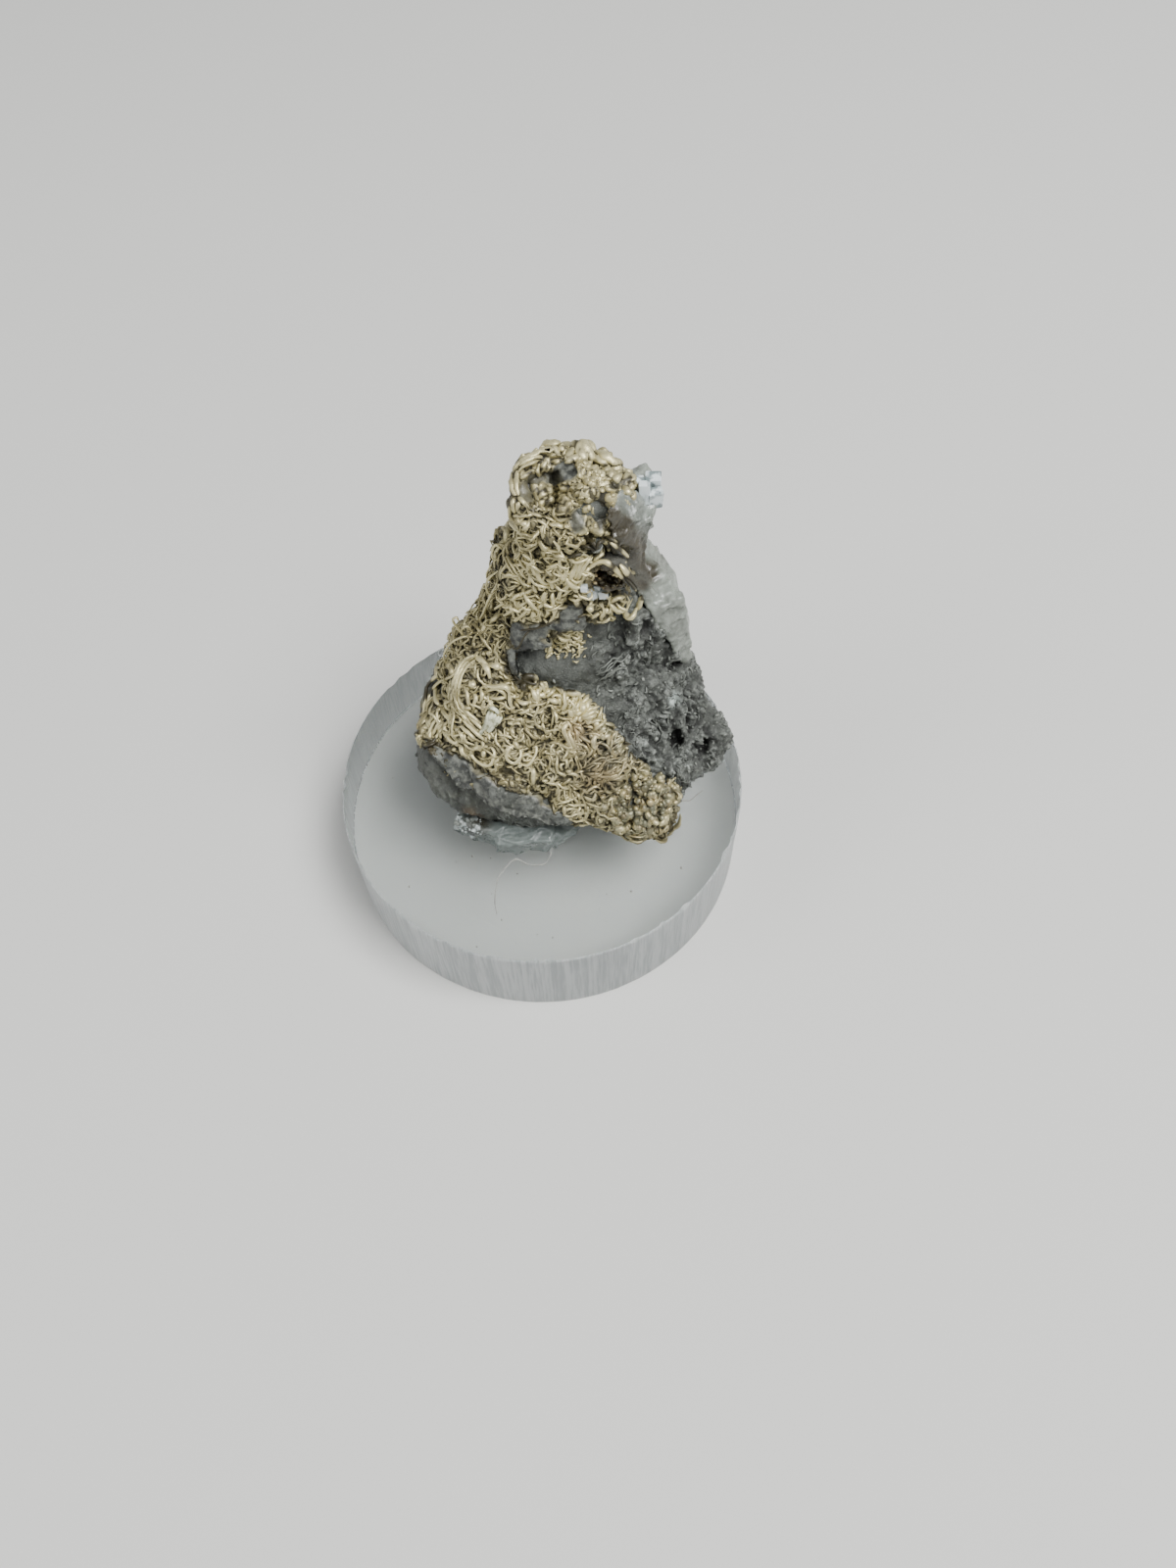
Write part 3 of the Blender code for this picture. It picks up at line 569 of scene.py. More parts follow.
def silver(name, warmth, grime, depth=1.0):
    """Native silver, pale on its tops, with painted shade and some soiling in dark brown on its low
    parts.
    """
    look = settings().silver
    net = Finish(name)
    tone, deep, bare = (net.attribute(kept) for kept in ("tone", "deep", "bare"))
    worn = tone * (0.35 + 0.35 * warmth) + net.patches(0.38, 0.68, 0.5, 4.0, 0.6) * 0.35 * warmth
    rust = net.near((2.3, -2.8, 8.9), 1.5) + net.near((3.2, -4.6, 7.0), 2.2) * 0.7
    rust = rust + net.near((4.1, 0.3, 18.3), 1.6) * 1.3
    foot = net.near((5.8, -4.9, 4.0), 4.4) + net.near((3.7, -3.0, 8.2), 2.4) * 0.8
    dull = net.near((4.2, -3.2, 7.6), 3.4) * net.patches(0.35, 0.6, 1.2, 5.0, 0.65)
    moss = foot * net.patches(0.44, 0.54, 1.5, 4.0, 0.6)
    amber = foot * net.patches(0.50, 0.60, 2.1, 4.0, 0.6)
    film = net.patches(0.5, 0.72, 6.0, 4.0, 0.65)
    # Painted shade with some soiling: the deeper a point lies between the wires, the more of the dark
    # brown it takes; depth scales this
    shade_and_dirt = net.spread(deep, 0.0, 1.0, 0.0, depth)
    rock = net.mix(net.patches(0.38, 0.68, 2.2, 5.0, 0.65), (0.035, 0.037, 0.034), (0.17, 0.178, 0.152))
    shade = net.layered(colour(look.pale), (
        (worn, colour(look.tarnish)), (rust * 0.6, (0.30, 0.19, 0.10)),
        (dull * 0.75, (0.19, 0.155, 0.095)), (moss * 0.9, (0.13, 0.145, 0.115)),
        (amber * 0.45, (0.36, 0.25, 0.12)), (film * grime, (0.13, 0.115, 0.07)),
        (shade_and_dirt, colour(look.crevice_shade_and_dirt)), (bare, rock)))
    rough = net.spread(net.noise(8.0, 3.0), 0.3, 0.7, 0.34, 0.58)
    metal = net.spread(deep + bare, 0.1, 0.9, 0.62, 0.1)
    relief = net.bump(net.noise(14.0, 4.0, 0.65), 0.02, 0.8)
    return net.surface(Base_Color=shade, Roughness=rough, Metallic=metal, Normal=relief)


def calcite(name, stains, bluish=0.0):
    """Cloudy calcite, with brown stains at given places."""
    look = settings().calcite
    net = Finish(name)
    stain = colour(look.stain)
    cloud = net.patches(0.35, 0.7, 0.8, 5.0, 0.6) * 0.6 + net.patches(0.4, 0.7, 5.0, 4.0, 0.6) * 0.25
    veins = net.spread(net.noise(1.7, 6.0, 0.7, distortion=1.2), 0.5, 0.56)
    tip = net.near((6.4, 2.4, 22.0), 1.25) * net.patches(0.38, 0.56, 1.9, 3.0)
    # The brown band along the left is partly stained and partly painted shadow beside the crown
    grime = net.attribute("stain") * net.spread(net.noise(1.9, 5.0, 0.65), 0.1, 0.5, 0.45, 1.0)
    layers = [
        (cloud, (0.115, 0.125, 0.105)), (net.near((5.3, 1.2, 20.8), 3.2) * 0.85, (0.115, 0.126, 0.11)),
        (veins * 0.22, (0.48, 0.52, 0.46)), (bluish, (0.145, 0.175, 0.168)),
        (tip, (0.50, 0.57, 0.56)), (grime, stain)]
    layers += [(net.near(centre, reach) * net.patches(0.15, 0.42, 1.5, 5.0, 0.65) * strength, stain)
               for centre, reach, strength in stains]
    shade = net.layered(colour(look.pale), layers)
    rough = net.spread(net.noise(2.5, 4.0), 0.35, 0.7, 0.22, 0.5)
    relief = net.bump(net.noise(4.0, 6.0, 0.6), 0.06, 0.6)
    return net.surface(Base_Color=shade, Roughness=rough, IOR=1.6, Normal=relief,
                       Subsurface_Weight=0.25, Subsurface_Scale=0.5 * MM,
                       Subsurface_Radius=(1.0, 0.95, 0.85))


def capsule(place, start, end):
    """How far a place is from the straight line between two places."""
    start, line = Vector(start), Vector(end) - Vector(start)
    share = min(1.0, max(0.0, (place - start).dot(line) / line.length_squared))
    return (place - start - line * share).length


def cushion(place, fineness):
    """Rounded cushions packed side by side: the height, how deep in their seams a place lies, which is
    painted as shade, and a tone.
    """
    gaps, centres = noise.voronoi(place * fineness)
    rim = gaps[1] - gaps[0]
    return ramp(rim, 0.0, 0.4), 1.0 - ramp(rim, 0.03, 0.2), 0.5 + 0.5 * noise.cell(centres[0] * 5.3)


def mesh_of(bm, name):
    """Close an open mesh under a name."""
    mesh = bpy.data.meshes.new(name)
    bm.to_mesh(mesh)
    bm.free()
    return mesh


def halved(mesh, place, normal):
    """The closed part of a mesh that lies behind a plane."""
    bm = bmesh.new()
    bm.from_mesh(mesh)
    everything = bm.verts[:] + bm.edges[:] + bm.faces[:]
    bmesh.ops.bisect_plane(bm, geom=everything, dist=0.00001, plane_co=place, plane_no=normal,
                           clear_outer=True)
    bmesh.ops.edgeloop_fill(bm, edges=[edge for edge in bm.edges if edge.is_boundary])
    bmesh.ops.triangulate(bm, faces=bm.faces)
    return mesh_of(bm, "half")


def joined(meshes):
    """Several meshes as one."""
    bm = bmesh.new()
    for mesh in meshes:
        bm.from_mesh(mesh)
    return mesh_of(bm, "joined")


def block(corners):
    """A solid block that spans a few corners."""
    bm = bmesh.new()
    for corner in corners:
        bm.verts.new(corner)
    bmesh.ops.convex_hull(bm, input=bm.verts)
    bmesh.ops.triangulate(bm, faces=bm.faces)
    return mesh_of(bm, "block")


def white_crystal(name, bright, cloudy):
    """Clear to bluish white crystals with glossy faces."""
    net = Finish(name)
    shade = net.mix(net.patches(0.42, 0.58, 1.6, 3.0), bright, cloudy)
    rough = net.spread(net.noise(6.0, 2.0), 0.4, 0.7, 0.08, 0.22)
    return net.surface(Base_Color=shade, Roughness=rough, IOR=1.6, Transmission_Weight=0.2)


def matt(name, first, second):
    """A plain dull finish of two mottled colours."""
    net = Finish(name)
    shade = net.mix(net.patches(0.35, 0.65, 8.0, 3.0), first, second)
    return net.surface(Base_Color=shade, Roughness=0.85)


def azimuth(place):
    """Degrees round the specimen's axis: 0 at the front, positive to the right."""
    return math.degrees(math.atan2(place.x - AXIS.x, AXIS.y - place.y))


def falloff(gap, reach):
    """One at the middle, nothing from the reach outwards."""
    share = max(0.0, 1.0 - gap / reach)
    return share * share * (3.0 - 2.0 * share)


def nearness(place, centre, reach):
    """One at a centre, nothing from the reach outwards."""
    return falloff((place - Vector(centre)).length, reach)


def ramp(value, low, high):
    """Nothing below the low value, one above the high one."""
    share = min(1.0, max(0.0, (value - low) / (high - low)))
    return share * share * (3.0 - 2.0 * share)


def result_of(mesh, prepare):
    """The mesh that modifiers give: prepare puts them on an object that holds the mesh."""
    carrier = bpy.data.objects.new("carrier", mesh)
    bpy.context.scene.collection.objects.link(carrier)
    prepare(carrier)
    bpy.context.view_layer.update()
    shaped = carrier.evaluated_get(bpy.context.evaluated_depsgraph_get())
    made = bpy.data.meshes.new_from_object(shaped)
    carrier.modifiers.clear()
    bpy.data.objects.remove(carrier)
    return made


def modified(mesh, kind, **options):
    """The mesh that one modifier gives."""
    def prepare(carrier):
        modifier = carrier.modifiers.new(kind.title(), kind)
        for option, value in options.items():
            setattr(modifier, option, value)
    return result_of(mesh, prepare)


def cad_mesh(node):
    """A node's shape in the specimen's millimetres, with its loose triangles merged."""
    bm = bmesh.new()
    bm.from_mesh(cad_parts[node].data)
    bmesh.ops.remove_doubles(bm, verts=bm.verts, dist=MERGE)
    bmesh.ops.translate(bm, vec=(0, 0, -TOP), verts=bm.verts)
    bmesh.ops.scale(bm, vec=(1 / MM,) * 3, verts=bm.verts)
    for vertex in bm.verts:
        vertex.co = drawn_in(vertex.co)
    return mesh_of(bm, node)


def points_of(mesh):
    """A mesh's points as rows of numbers."""
    flat = np.empty(len(mesh.vertices) * 3, np.float32)
    mesh.vertices.foreach_get("co", flat)
    return flat.reshape(-1, 3)


def remeshed(mesh, fineness, smoothing):
    """A shape as one even skin of small squares, smoothed a number of times."""
    made = modified(mesh, "REMESH", mode="VOXEL", voxel_size=fineness)
    return modified(made, "SMOOTH", factor=0.5, iterations=smoothing)


def pushed(mesh, relief):
    """Move every point out along its normal by relief(place, normal)."""
    moves = [vertex.normal * relief(vertex.co, vertex.normal) for vertex in mesh.vertices]
    for vertex, move in zip(mesh.vertices, moves):
        vertex.co += move
    mesh.update()
    return mesh


# The lowest level of the pieces on the base, and below which height a foot goes flat, and where
LOWEST = 0.01
FLAT_RIM = 0.3
FLAT_LEVEL = 0.012


def held_in(mesh):
    """Keep a mesh between the base's top face and the part's own height."""
    points = points_of(mesh)
    points[:, 2] = np.clip(points[:, 2], LOWEST, CEILING)
    mesh.vertices.foreach_set("co", points.ravel())
    mesh.update()
    return mesh


def set_down(mesh):
    """Bring a mesh's lowest points down onto the base's top face."""
    points = points_of(mesh)
    points[points[:, 2] < FLAT_RIM, 2] = FLAT_LEVEL
    mesh.vertices.foreach_set("co", points.ravel())


def chance_step(rng, spread):
    """A step by chance, alike in all directions."""
    return Vector([rng.gauss(0, spread) for _ in range(3)])


def store(mesh, name, values):
    """Keep one number for each point of a mesh."""
    made = mesh.attributes.new(name, "FLOAT", "POINT")
    made.data.foreach_set("value", np.asarray(values, np.float32))


def finished(name, mesh, materials, replaced=(), smooth=True):
    """Place a mesh in the part's metres as a piece that rides with the body."""
    mesh.transform(Matrix.Translation((0, 0, TOP)) @ Matrix.Scale(MM, 4))
    if not mesh.materials:
        for material in materials:
            mesh.materials.append(material)
    if smooth:
        mesh.shade_smooth()
    made = bpy.data.objects.new(name, mesh)
    bpy.context.scene.collection.objects.link(made)
    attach(made, BODY)
    if replaced:
        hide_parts(*replaced)
    return made


class Skin:
    """Finds and scatters places on a mesh."""

    def __init__(self, mesh):
        mesh.calc_loop_triangles()
        self.points = points_of(mesh)
        corners = np.empty(len(mesh.loop_triangles) * 3, np.int32)
        mesh.loop_triangles.foreach_get("vertices", corners)
        self.corners = corners.reshape(-1, 3)
        self.tree = BVHTree.FromPolygons(self.points.tolist(), self.corners.tolist())
        first, second, third = (self.points[self.corners[:, k]] for k in range(3))
        self.areas = np.linalg.norm(np.cross(second - first, third - first), axis=1)

    def near(self, place):
        """The nearest place on the mesh, and its normal."""
        found, normal, _, _ = self.tree.find_nearest(place)
        return found, normal

    def gap(self, place):
        """How far a place is from the mesh."""
        return self.tree.find_nearest(place)[3]

    def height(self, place):
        """How far a place stands above the mesh, negative inside it."""
        near, normal = self.near(place)
        return (place - near).dot(normal)

    def depths(self, mesh, low, high):
        """How deep each point of another mesh lies: one at the low height, nothing at the high one."""
        return [1.0 - ramp(self.height(vertex.co), low, high) for vertex in mesh.vertices]

    def scattered(self, count, spacing, seed, accept):
        """Up to a count of places a spacing apart, where accept says so, each with its normal."""
        rng = np.random.RandomState(seed)
        picks = rng.choice(len(self.areas), count * 12, p=self.areas / self.areas.sum())
        shares = rng.random_sample((len(picks), 2))
        over = shares.sum(1) > 1
        shares[over] = 1 - shares[over]
        taken = {}
        found = []
        for pick, (second, third) in zip(picks, shares):
            a, b, c = self.points[self.corners[pick]]
            place = Vector((a + second * (b - a) + third * (c - a)).tolist())
            normal = Vector(np.cross(b - a, c - a).tolist()).normalized()
            if not accept(place):
                continue
            cell = tuple(int(part // spacing) for part in place)
            around = [(cell[0] + i, cell[1] + j, cell[2] + k)
                      for i in (-1, 0, 1) for j in (-1, 0, 1) for k in (-1, 0, 1)]
            if any((place - other).length < spacing for key in around for other in taken.get(key, ())):
                continue
            taken.setdefault(cell, []).append(place)
            found.append((place, normal))
            if len(found) == count:
                break
        return found


def geometry_tree(name, sockets):
    """A Geometry Nodes tree with a named input for each size, and its group input's node."""
    tree = bpy.data.node_groups.new(name, "GeometryNodeTree")
    kinds = {float: "NodeSocketFloat", int: "NodeSocketInt", bpy.types.Material: "NodeSocketMaterial"}
    tree.interface.new_socket("Geometry", in_out="INPUT", socket_type="NodeSocketGeometry")
    for socket, kind in sockets.items():
        tree.interface.new_socket(socket, in_out="INPUT", socket_type=kinds[kind])
    tree.interface.new_socket("Geometry", in_out="OUTPUT", socket_type="NodeSocketGeometry")
    net = Net(tree)
    given = tree.nodes.new("NodeGroupInput")
    return net, {socket.name: Value(net, socket) for socket in given.outputs if socket.name}


def closed_tree(net, geometry, material):
    """End a tree with Realize Instances, Set Shade Smooth and Set Material."""
    real = net.node("GeometryNodeRealizeInstances", None, {0: geometry})
    smooth = net.node("GeometryNodeSetShadeSmooth", None, {0: real})
    painted = net.node("GeometryNodeSetMaterial", None, {"Geometry": smooth, "Material": material})
    net.node("NodeGroupOutput", None, {0: painted})
    return net.tree


def rippled(net, geometry, where, scale, detail, reach):
    """Move geometry about by soft noise."""
    inputs = {"Vector": where, "Scale": scale, "Detail": detail}
    ripple = net.node("ShaderNodeTexNoise", None, inputs, "Color")
    offset = net.vectors("SCALE", net.vectors("SUBTRACT", ripple, (0.5,) * 3), reach)
    return net.node("GeometryNodeSetPosition", None, {"Geometry": geometry, "Offset": offset})


def wire_tree():
    """Sweeps every line of a mesh into a flattened wire with rounded ends and small kinks."""
    sizes = {"Radius": float, "Sides": int, "Taper": float, "Kink": float, "Seed": int,
             "Material": bpy.types.Material}
    net, given = geometry_tree("wires", sizes)
    lines = net.node("GeometryNodeMeshToCurve", None, {0: given["Geometry"]})
    where = net.node("GeometryNodeInputPosition")
    shift = net.node("ShaderNodeCombineXYZ", None, {0: given["Seed"], 1: given["Seed"]})
    moved = net.vectors("ADD", where, shift)
    lines = rippled(net, lines, moved, 2.6, 1.0, given["Kink"])
    along = net.node("GeometryNodeSplineParameter")
    ends = net.node("ShaderNodeMath", {"operation": "ABSOLUTE"}, {0: along * 2.0 - 1.0})
    thick = net.node("GeometryNodeInputNamedAttribute", {"data_type": "FLOAT"}, {0: "thick"})
    swelling = net.node("ShaderNodeTexNoise", None, {"Vector": moved, "Scale": 3.7, "Detail": 0.0})
    width = given["Radius"] * thick * (0.55 + swelling * 0.9) * (1.0 - given["Taper"] * ends ** 5.0)
    inputs = {"Resolution": given["Sides"], "Radius": 1.0}
    profile = net.node("GeometryNodeCurvePrimitiveCircle", None, inputs)
    profile = net.node("GeometryNodeTransform", None, {"Geometry": profile, "Scale": (1.25, 0.8, 1.0)})
    inputs = {0: lines, 1: profile, "Scale": width, "Fill Caps": True}
    tubes = net.node("GeometryNodeCurveToMesh", None, inputs)
    return closed_tree(net, tubes, given["Material"])


def scatter_tree(shape):
    """Crowds small shapes over a surface where its points' grow number allows."""
    sizes = {"Spacing": float, "Density": float, "Smallest": float, "Largest": float,
             "Flatness": float, "Unevenness": float, "Seed": int, "Material": bpy.types.Material}
    net, given = geometry_tree(f"scattered_{shape}", sizes)
    grow = net.node("GeometryNodeInputNamedAttribute", {"data_type": "FLOAT"}, {0: "grow"})
    chosen = {"Mesh": given["Geometry"], "Distance Min": given["Spacing"],
              "Density Max": given["Density"], "Density Factor": grow, "Seed": given["Seed"]}
    kind = "GeometryNodeDistributePointsOnFaces"
    points = net.node(kind, {"distribute_method": "POISSON"}, chosen)
    normal_turn = Value(net, points.socket.node.outputs["Rotation"])
    drawn = {2: 0.0, 3: 1.0, "Seed": given["Seed"]}
    draw = net.node("FunctionNodeRandomValue", {"data_type": "FLOAT"}, drawn, 1)
    size = given["Smallest"] + (given["Largest"] - given["Smallest"]) * draw ** 2.0
    limits = {0: (0.0,) * 3, 1: (2 * math.pi,) * 3, "Seed": given["Seed"]}
    tumble = net.node("FunctionNodeRandomValue", {"data_type": "FLOAT_VECTOR"}, limits, 0)
    if shape == "ball":
        item = net.node("GeometryNodeMeshIcoSphere", None, {"Radius": 1.0, "Subdivisions": 2})
        turn = normal_turn
    else:
        item = net.node("GeometryNodeMeshCube", None, {"Size": (1.7, 1.7, 1.7)})
        turn = tumble
    scale = net.node("ShaderNodeCombineXYZ", None, {0: size, 1: size, 2: size * given["Flatness"]})
    placed = {"Points": points, "Instance": item, "Rotation": turn, "Scale": scale}
    items = net.node("GeometryNodeInstanceOnPoints", None, placed)
    shade = net.node("FunctionNodeRandomValue", {"data_type": "FLOAT"}, {2: 0.0, 3: 1.0, "Seed": 77}, 1)
    options = {"data_type": "FLOAT", "domain": "INSTANCE"}
    inputs = {0: items, "Name": "tone", "Value": shade}
    items = net.node("GeometryNodeStoreNamedAttribute", options, inputs)
    items = net.node("GeometryNodeRealizeInstances", None, {0: items})
    where = net.node("GeometryNodeInputPosition")
    items = rippled(net, items, where, 3.1, 2.0, given["Unevenness"])
    return closed_tree(net, items, given["Material"])


def grown(mesh, tree, **inputs):
    """The plain mesh that a Geometry Nodes tree gives, with its named inputs set."""
    def prepare(carrier):
        modifier = carrier.modifiers.new(tree.name, "NODES")
        modifier.node_group = tree
        for socket in tree.interface.items_tree:
            if socket.item_type == "SOCKET" and socket.in_out == "INPUT" and socket.name in inputs:
                modifier[socket.identifier] = inputs[socket.name]
    return result_of(mesh, prepare)


class Bundle:
    """Collects the lines that wires follow, with each line's thickness and tone."""

    def __init__(self):
        self.points = []
        self.edges = []
        self.thick = []
        self.tone = []

    def add(self, path, thick, tone):
        """Add one wire."""
        first = len(self.points)
        self.points.extend(path)
        self.edges.extend((first + step, first + step + 1) for step in range(len(path) - 1))
        self.thick.extend([thick] * len(path))
        self.tone.extend([tone] * len(path))

    def swept(self, core, material, kink, taper, seed, sides=None, radius=None, lift=0.42):
        """The wires as one mesh, that knows how deep each point lies on the core, for the shade painted
        on its low parts.
        """
        look = settings().silver
        mesh = bpy.data.meshes.new("lines")
        mesh.from_pydata([tuple(point) for point in self.points], self.edges, [])
        store(mesh, "thick", self.thick)
        store(mesh, "tone", self.tone)
        made = grown(mesh, wire_tree(), Radius=(radius or look.radius) / MM, Sides=sides or look.sides,
                     Taper=taper, Kink=kink, Seed=seed, Material=material)
        if core:
            store(made, "deep", core.depths(made, 0.0, lift))
        return held_in(made)


def laid(name, bundle, core, material, kink, taper=0.6, slot="tarnished_silver", **options):
    """Sweep a bundle's wires and place them as a piece."""
    finished(name, bundle.swept(core, material, kink, taper, **options), [material])


# A wire's step along the core, the fewest and most steps, and how deep its ends lie in the core
STRIDE = 0.17
FEWEST, MOST = 3, 10
SUNK = 0.04


def walk(core, place, normal, heading, length, curl, rise, sway, span):
    """A wire's line over a core: it turns as it goes and rises; a span under one leaves its end up."""
    steps = min(MOST, max(FEWEST, round(length / STRIDE)))
    step = length / steps
    path = []
    for count in range(steps + 1):
        heading = (heading - normal * heading.dot(normal)).normalized()
        share = count / steps
        path.append(place + normal * (rise * math.sin(math.pi * share * span) - SUNK + 0.3 * rise))
        turn = (curl + sway * math.sin(2 * math.pi * share)) * step
        heading = Quaternion(normal, turn) @ heading
        place, normal = core.near(place + heading * step)
    return path


# Where the wires turn round a middle: place and reach
SWIRLS = (((-2.9, -1.5, 9.5), 2.1), ((-1.0, -3.2, 8.2), 0.9), ((2.6, -2.6, 9.2), 1.1))

# Where the wires run side by side: place, reach and direction
CURRENTS = (
    ((3.2, -4.6, 7.2), 2.3, (1.0, 0.25, 0.25)),
    ((-4.6, 0.2, 9.6), 1.7, (-0.35, -0.55, -0.75)),
    ((-6.2, 0.9, 6.8), 2.4, (-0.2, -0.7, -0.7)),
    ((-0.6, 1.2, 18.2), 1.4, (0.75, -0.3, 0.6)),
    ((-2.2, 1.6, 14.6), 1.9, (-0.45, 0.2, -0.85)),
)


def calm(place):
    """How far the wires run side by side at a place, at most one."""
    return min(1.0, 1.5 * max(nearness(place, centre, reach) for centre, reach, _ in CURRENTS))


def heading_at(place, normal, rng, looseness):
    """A wire's first direction: along its neighbours, and more or less by chance."""
    heading = noise.noise_vector(place * 0.32 + Vector((3, 1, 8))).normalized() * 0.6
    for centre, reach in SWIRLS:
        arm = place - Vector(centre)
        heading += normal.cross(arm).normalized() * 3.0 * falloff(arm.length, reach)
    for centre, reach, direction in CURRENTS:
        heading += Vector(direction) * 2.2 * nearness(place, centre, reach)
    return heading + chance_step(rng, looseness)


# Kinds of wire: share, length, curl, thickness, rise and looseness
NECK_KINDS = (
    (0.36, (0.6, 1.4), (0.0, 0.5), (0.65, 1.1), 0.50, 1.6),
    (0.38, (0.3, 0.8), (0.0, 1.8), (0.5, 0.95), 0.36, 1.6),
    (0.26, (0.5, 1.2), (1.2, 3.6), (0.45, 0.75), 0.44, 1.3),
)
BELLY_KINDS = (
    (0.46, (0.45, 1.1), (2.6, 6.2), (0.6, 1.05), 0.30, 0.9),
    (0.34, (0.25, 0.6), (0.0, 2.0), (0.75, 1.35), 0.30, 0.9),
    (0.20, (0.9, 1.8), (0.1, 1.2), (0.55, 0.95), 0.38, 0.5),
)
FLANK_KINDS = (
    (0.45, (0.6, 1.5), (0.0, 0.9), (0.5, 0.95), 0.40, 1.1),
    (0.30, (0.3, 0.8), (0.5, 2.6), (0.5, 0.9), 0.36, 1.6),
    (0.25, (0.7, 1.6), (1.5, 3.8), (0.4, 0.75), 0.50, 1.4),
)
ROCK_KINDS = (
    (0.5, (0.3, 0.9), (0.0, 2.5), (0.35, 0.75), 0.12, 1.0),
    (0.5, (0.2, 0.45), (0.0, 1.5), (0.45, 0.9), 0.10, 1.2),
)


def strew(core, places, kinds, rng, bundle_at):
    """Lay wires of several kinds from places on a core, each into the bundle for its place."""
    shares = [kind[0] for kind in kinds]
    for place, normal in places:
        _, length, curl, thick, rise, looseness = rng.choices(kinds, shares)[0]
        still = calm(place)
        turn = rng.choice((-1, 1)) * rng.uniform(*curl) * (1.0 - 0.85 * still)
        heading = heading_at(place, normal, rng, looseness * (1.0 - 0.7 * still))
        lift = rise * rng.random() ** 1.5
        path = walk(core, place, normal, heading, rng.uniform(*length) * (1.0 + 0.5 * still), turn, lift,
                    rng.gauss(0, 0.8), rng.uniform(0.5, 1.0))
        if min(vug_gap(point) for point in path) > CLEAR_OF_PATHS:
            # Painted shade: a wire that lies low on the core gets a darker tone
            tone = min(1.0, rng.random() ** 0.7 + 0.25 * (lift < 0.1))
            bundle_at(place).add(path, rng.uniform(*thick), tone)


# The plane between the rock's shoulder and the calcite's lower end
SHOULDER_PLACE = Vector((7.0, 0.6, 13.5))
SHOULDER_NORMAL = Vector((-0.880, -0.305, -0.365))


def smooth_line(corners, count):
    """Points spread along a smooth curve through a few corners."""
    corners = [Vector(corner) for corner in corners]
    padded = [corners[0] * 2 - corners[1], *corners, corners[-1] * 2 - corners[-2]]
    line = []
    for step in range(count):
        place = step / (count - 1) * (len(corners) - 1)
        start = min(int(place), len(corners) - 2)
        t = place - start
        a, b, c, d = padded[start:start + 4]
        line.append(0.5 * (2 * b + (c - a) * t + (2 * a - 5 * b + 4 * c - d) * t * t
                           + (3 * b - a - 3 * c + d) * t * t * t))
    return line


# Shapes that later pieces stand on, kept by name
made_skins = {}

# The small hollow in the neck: its middle, reach and depth, and what stays clear of it
VUG = Vector((3.95, 0.0, 18.1))
VUG_REACH = 1.1
VUG_DEPTH = 0.5
CLEAR_OF_PATHS = 0.72
CLEAR_OF_STARTS = 0.85

# Deep pits in the rock's right side: place, reach and depth
PITS = (
    ((8.07, -1.86, 5.64), 0.6, 0.9), ((8.15, -1.7, 6.1), 0.4, 0.6), ((8.93, -1.19, 6.38), 0.45, 0.8),
    ((8.95, -1.05, 6.9), 0.4, 0.7), ((9.0, -1.35, 5.9), 0.4, 0.7), ((9.71, -1.65, 4.33), 0.7, 0.8),
    ((9.2, -1.9, 4.7), 0.5, 0.6), ((6.35, -1.35, 8.0), 0.35, 0.4), ((6.4, -1.65, 7.4), 0.35, 0.4),
    ((8.6, -0.4, 9.2), 0.4, 0.3),
)


# Light threads on the rock
ROCK_LINES = (
    ((3.43, -0.49, 11.0), (4.05, -0.32, 11.4), (4.72, -0.14, 11.79), (5.29, 0.17, 12.19)),
    ((3.58, -0.53, 10.4), (4.26, -0.41, 10.96), (4.98, -0.24, 11.35), (5.33, -0.08, 11.63)),
    ((6.59, -1.37, 8.17), (6.75, -1.59, 7.59), (7.04, -1.76, 7.09), (6.95, -2.06, 6.73),
     (6.61, -2.52, 6.65)),
    ((7.26, -1.12, 7.92), (7.55, -1.22, 7.44), (7.6, -1.5, 7.0)),
)


def roughness(place):
    """How rough the rock is at a place: not at all on the dark face, most on the right."""
    return ramp(place.x + 0.8 * noise.noise(place * 0.7), 2.4, 5.6) * ramp(place.z, 17.5, 15.0)


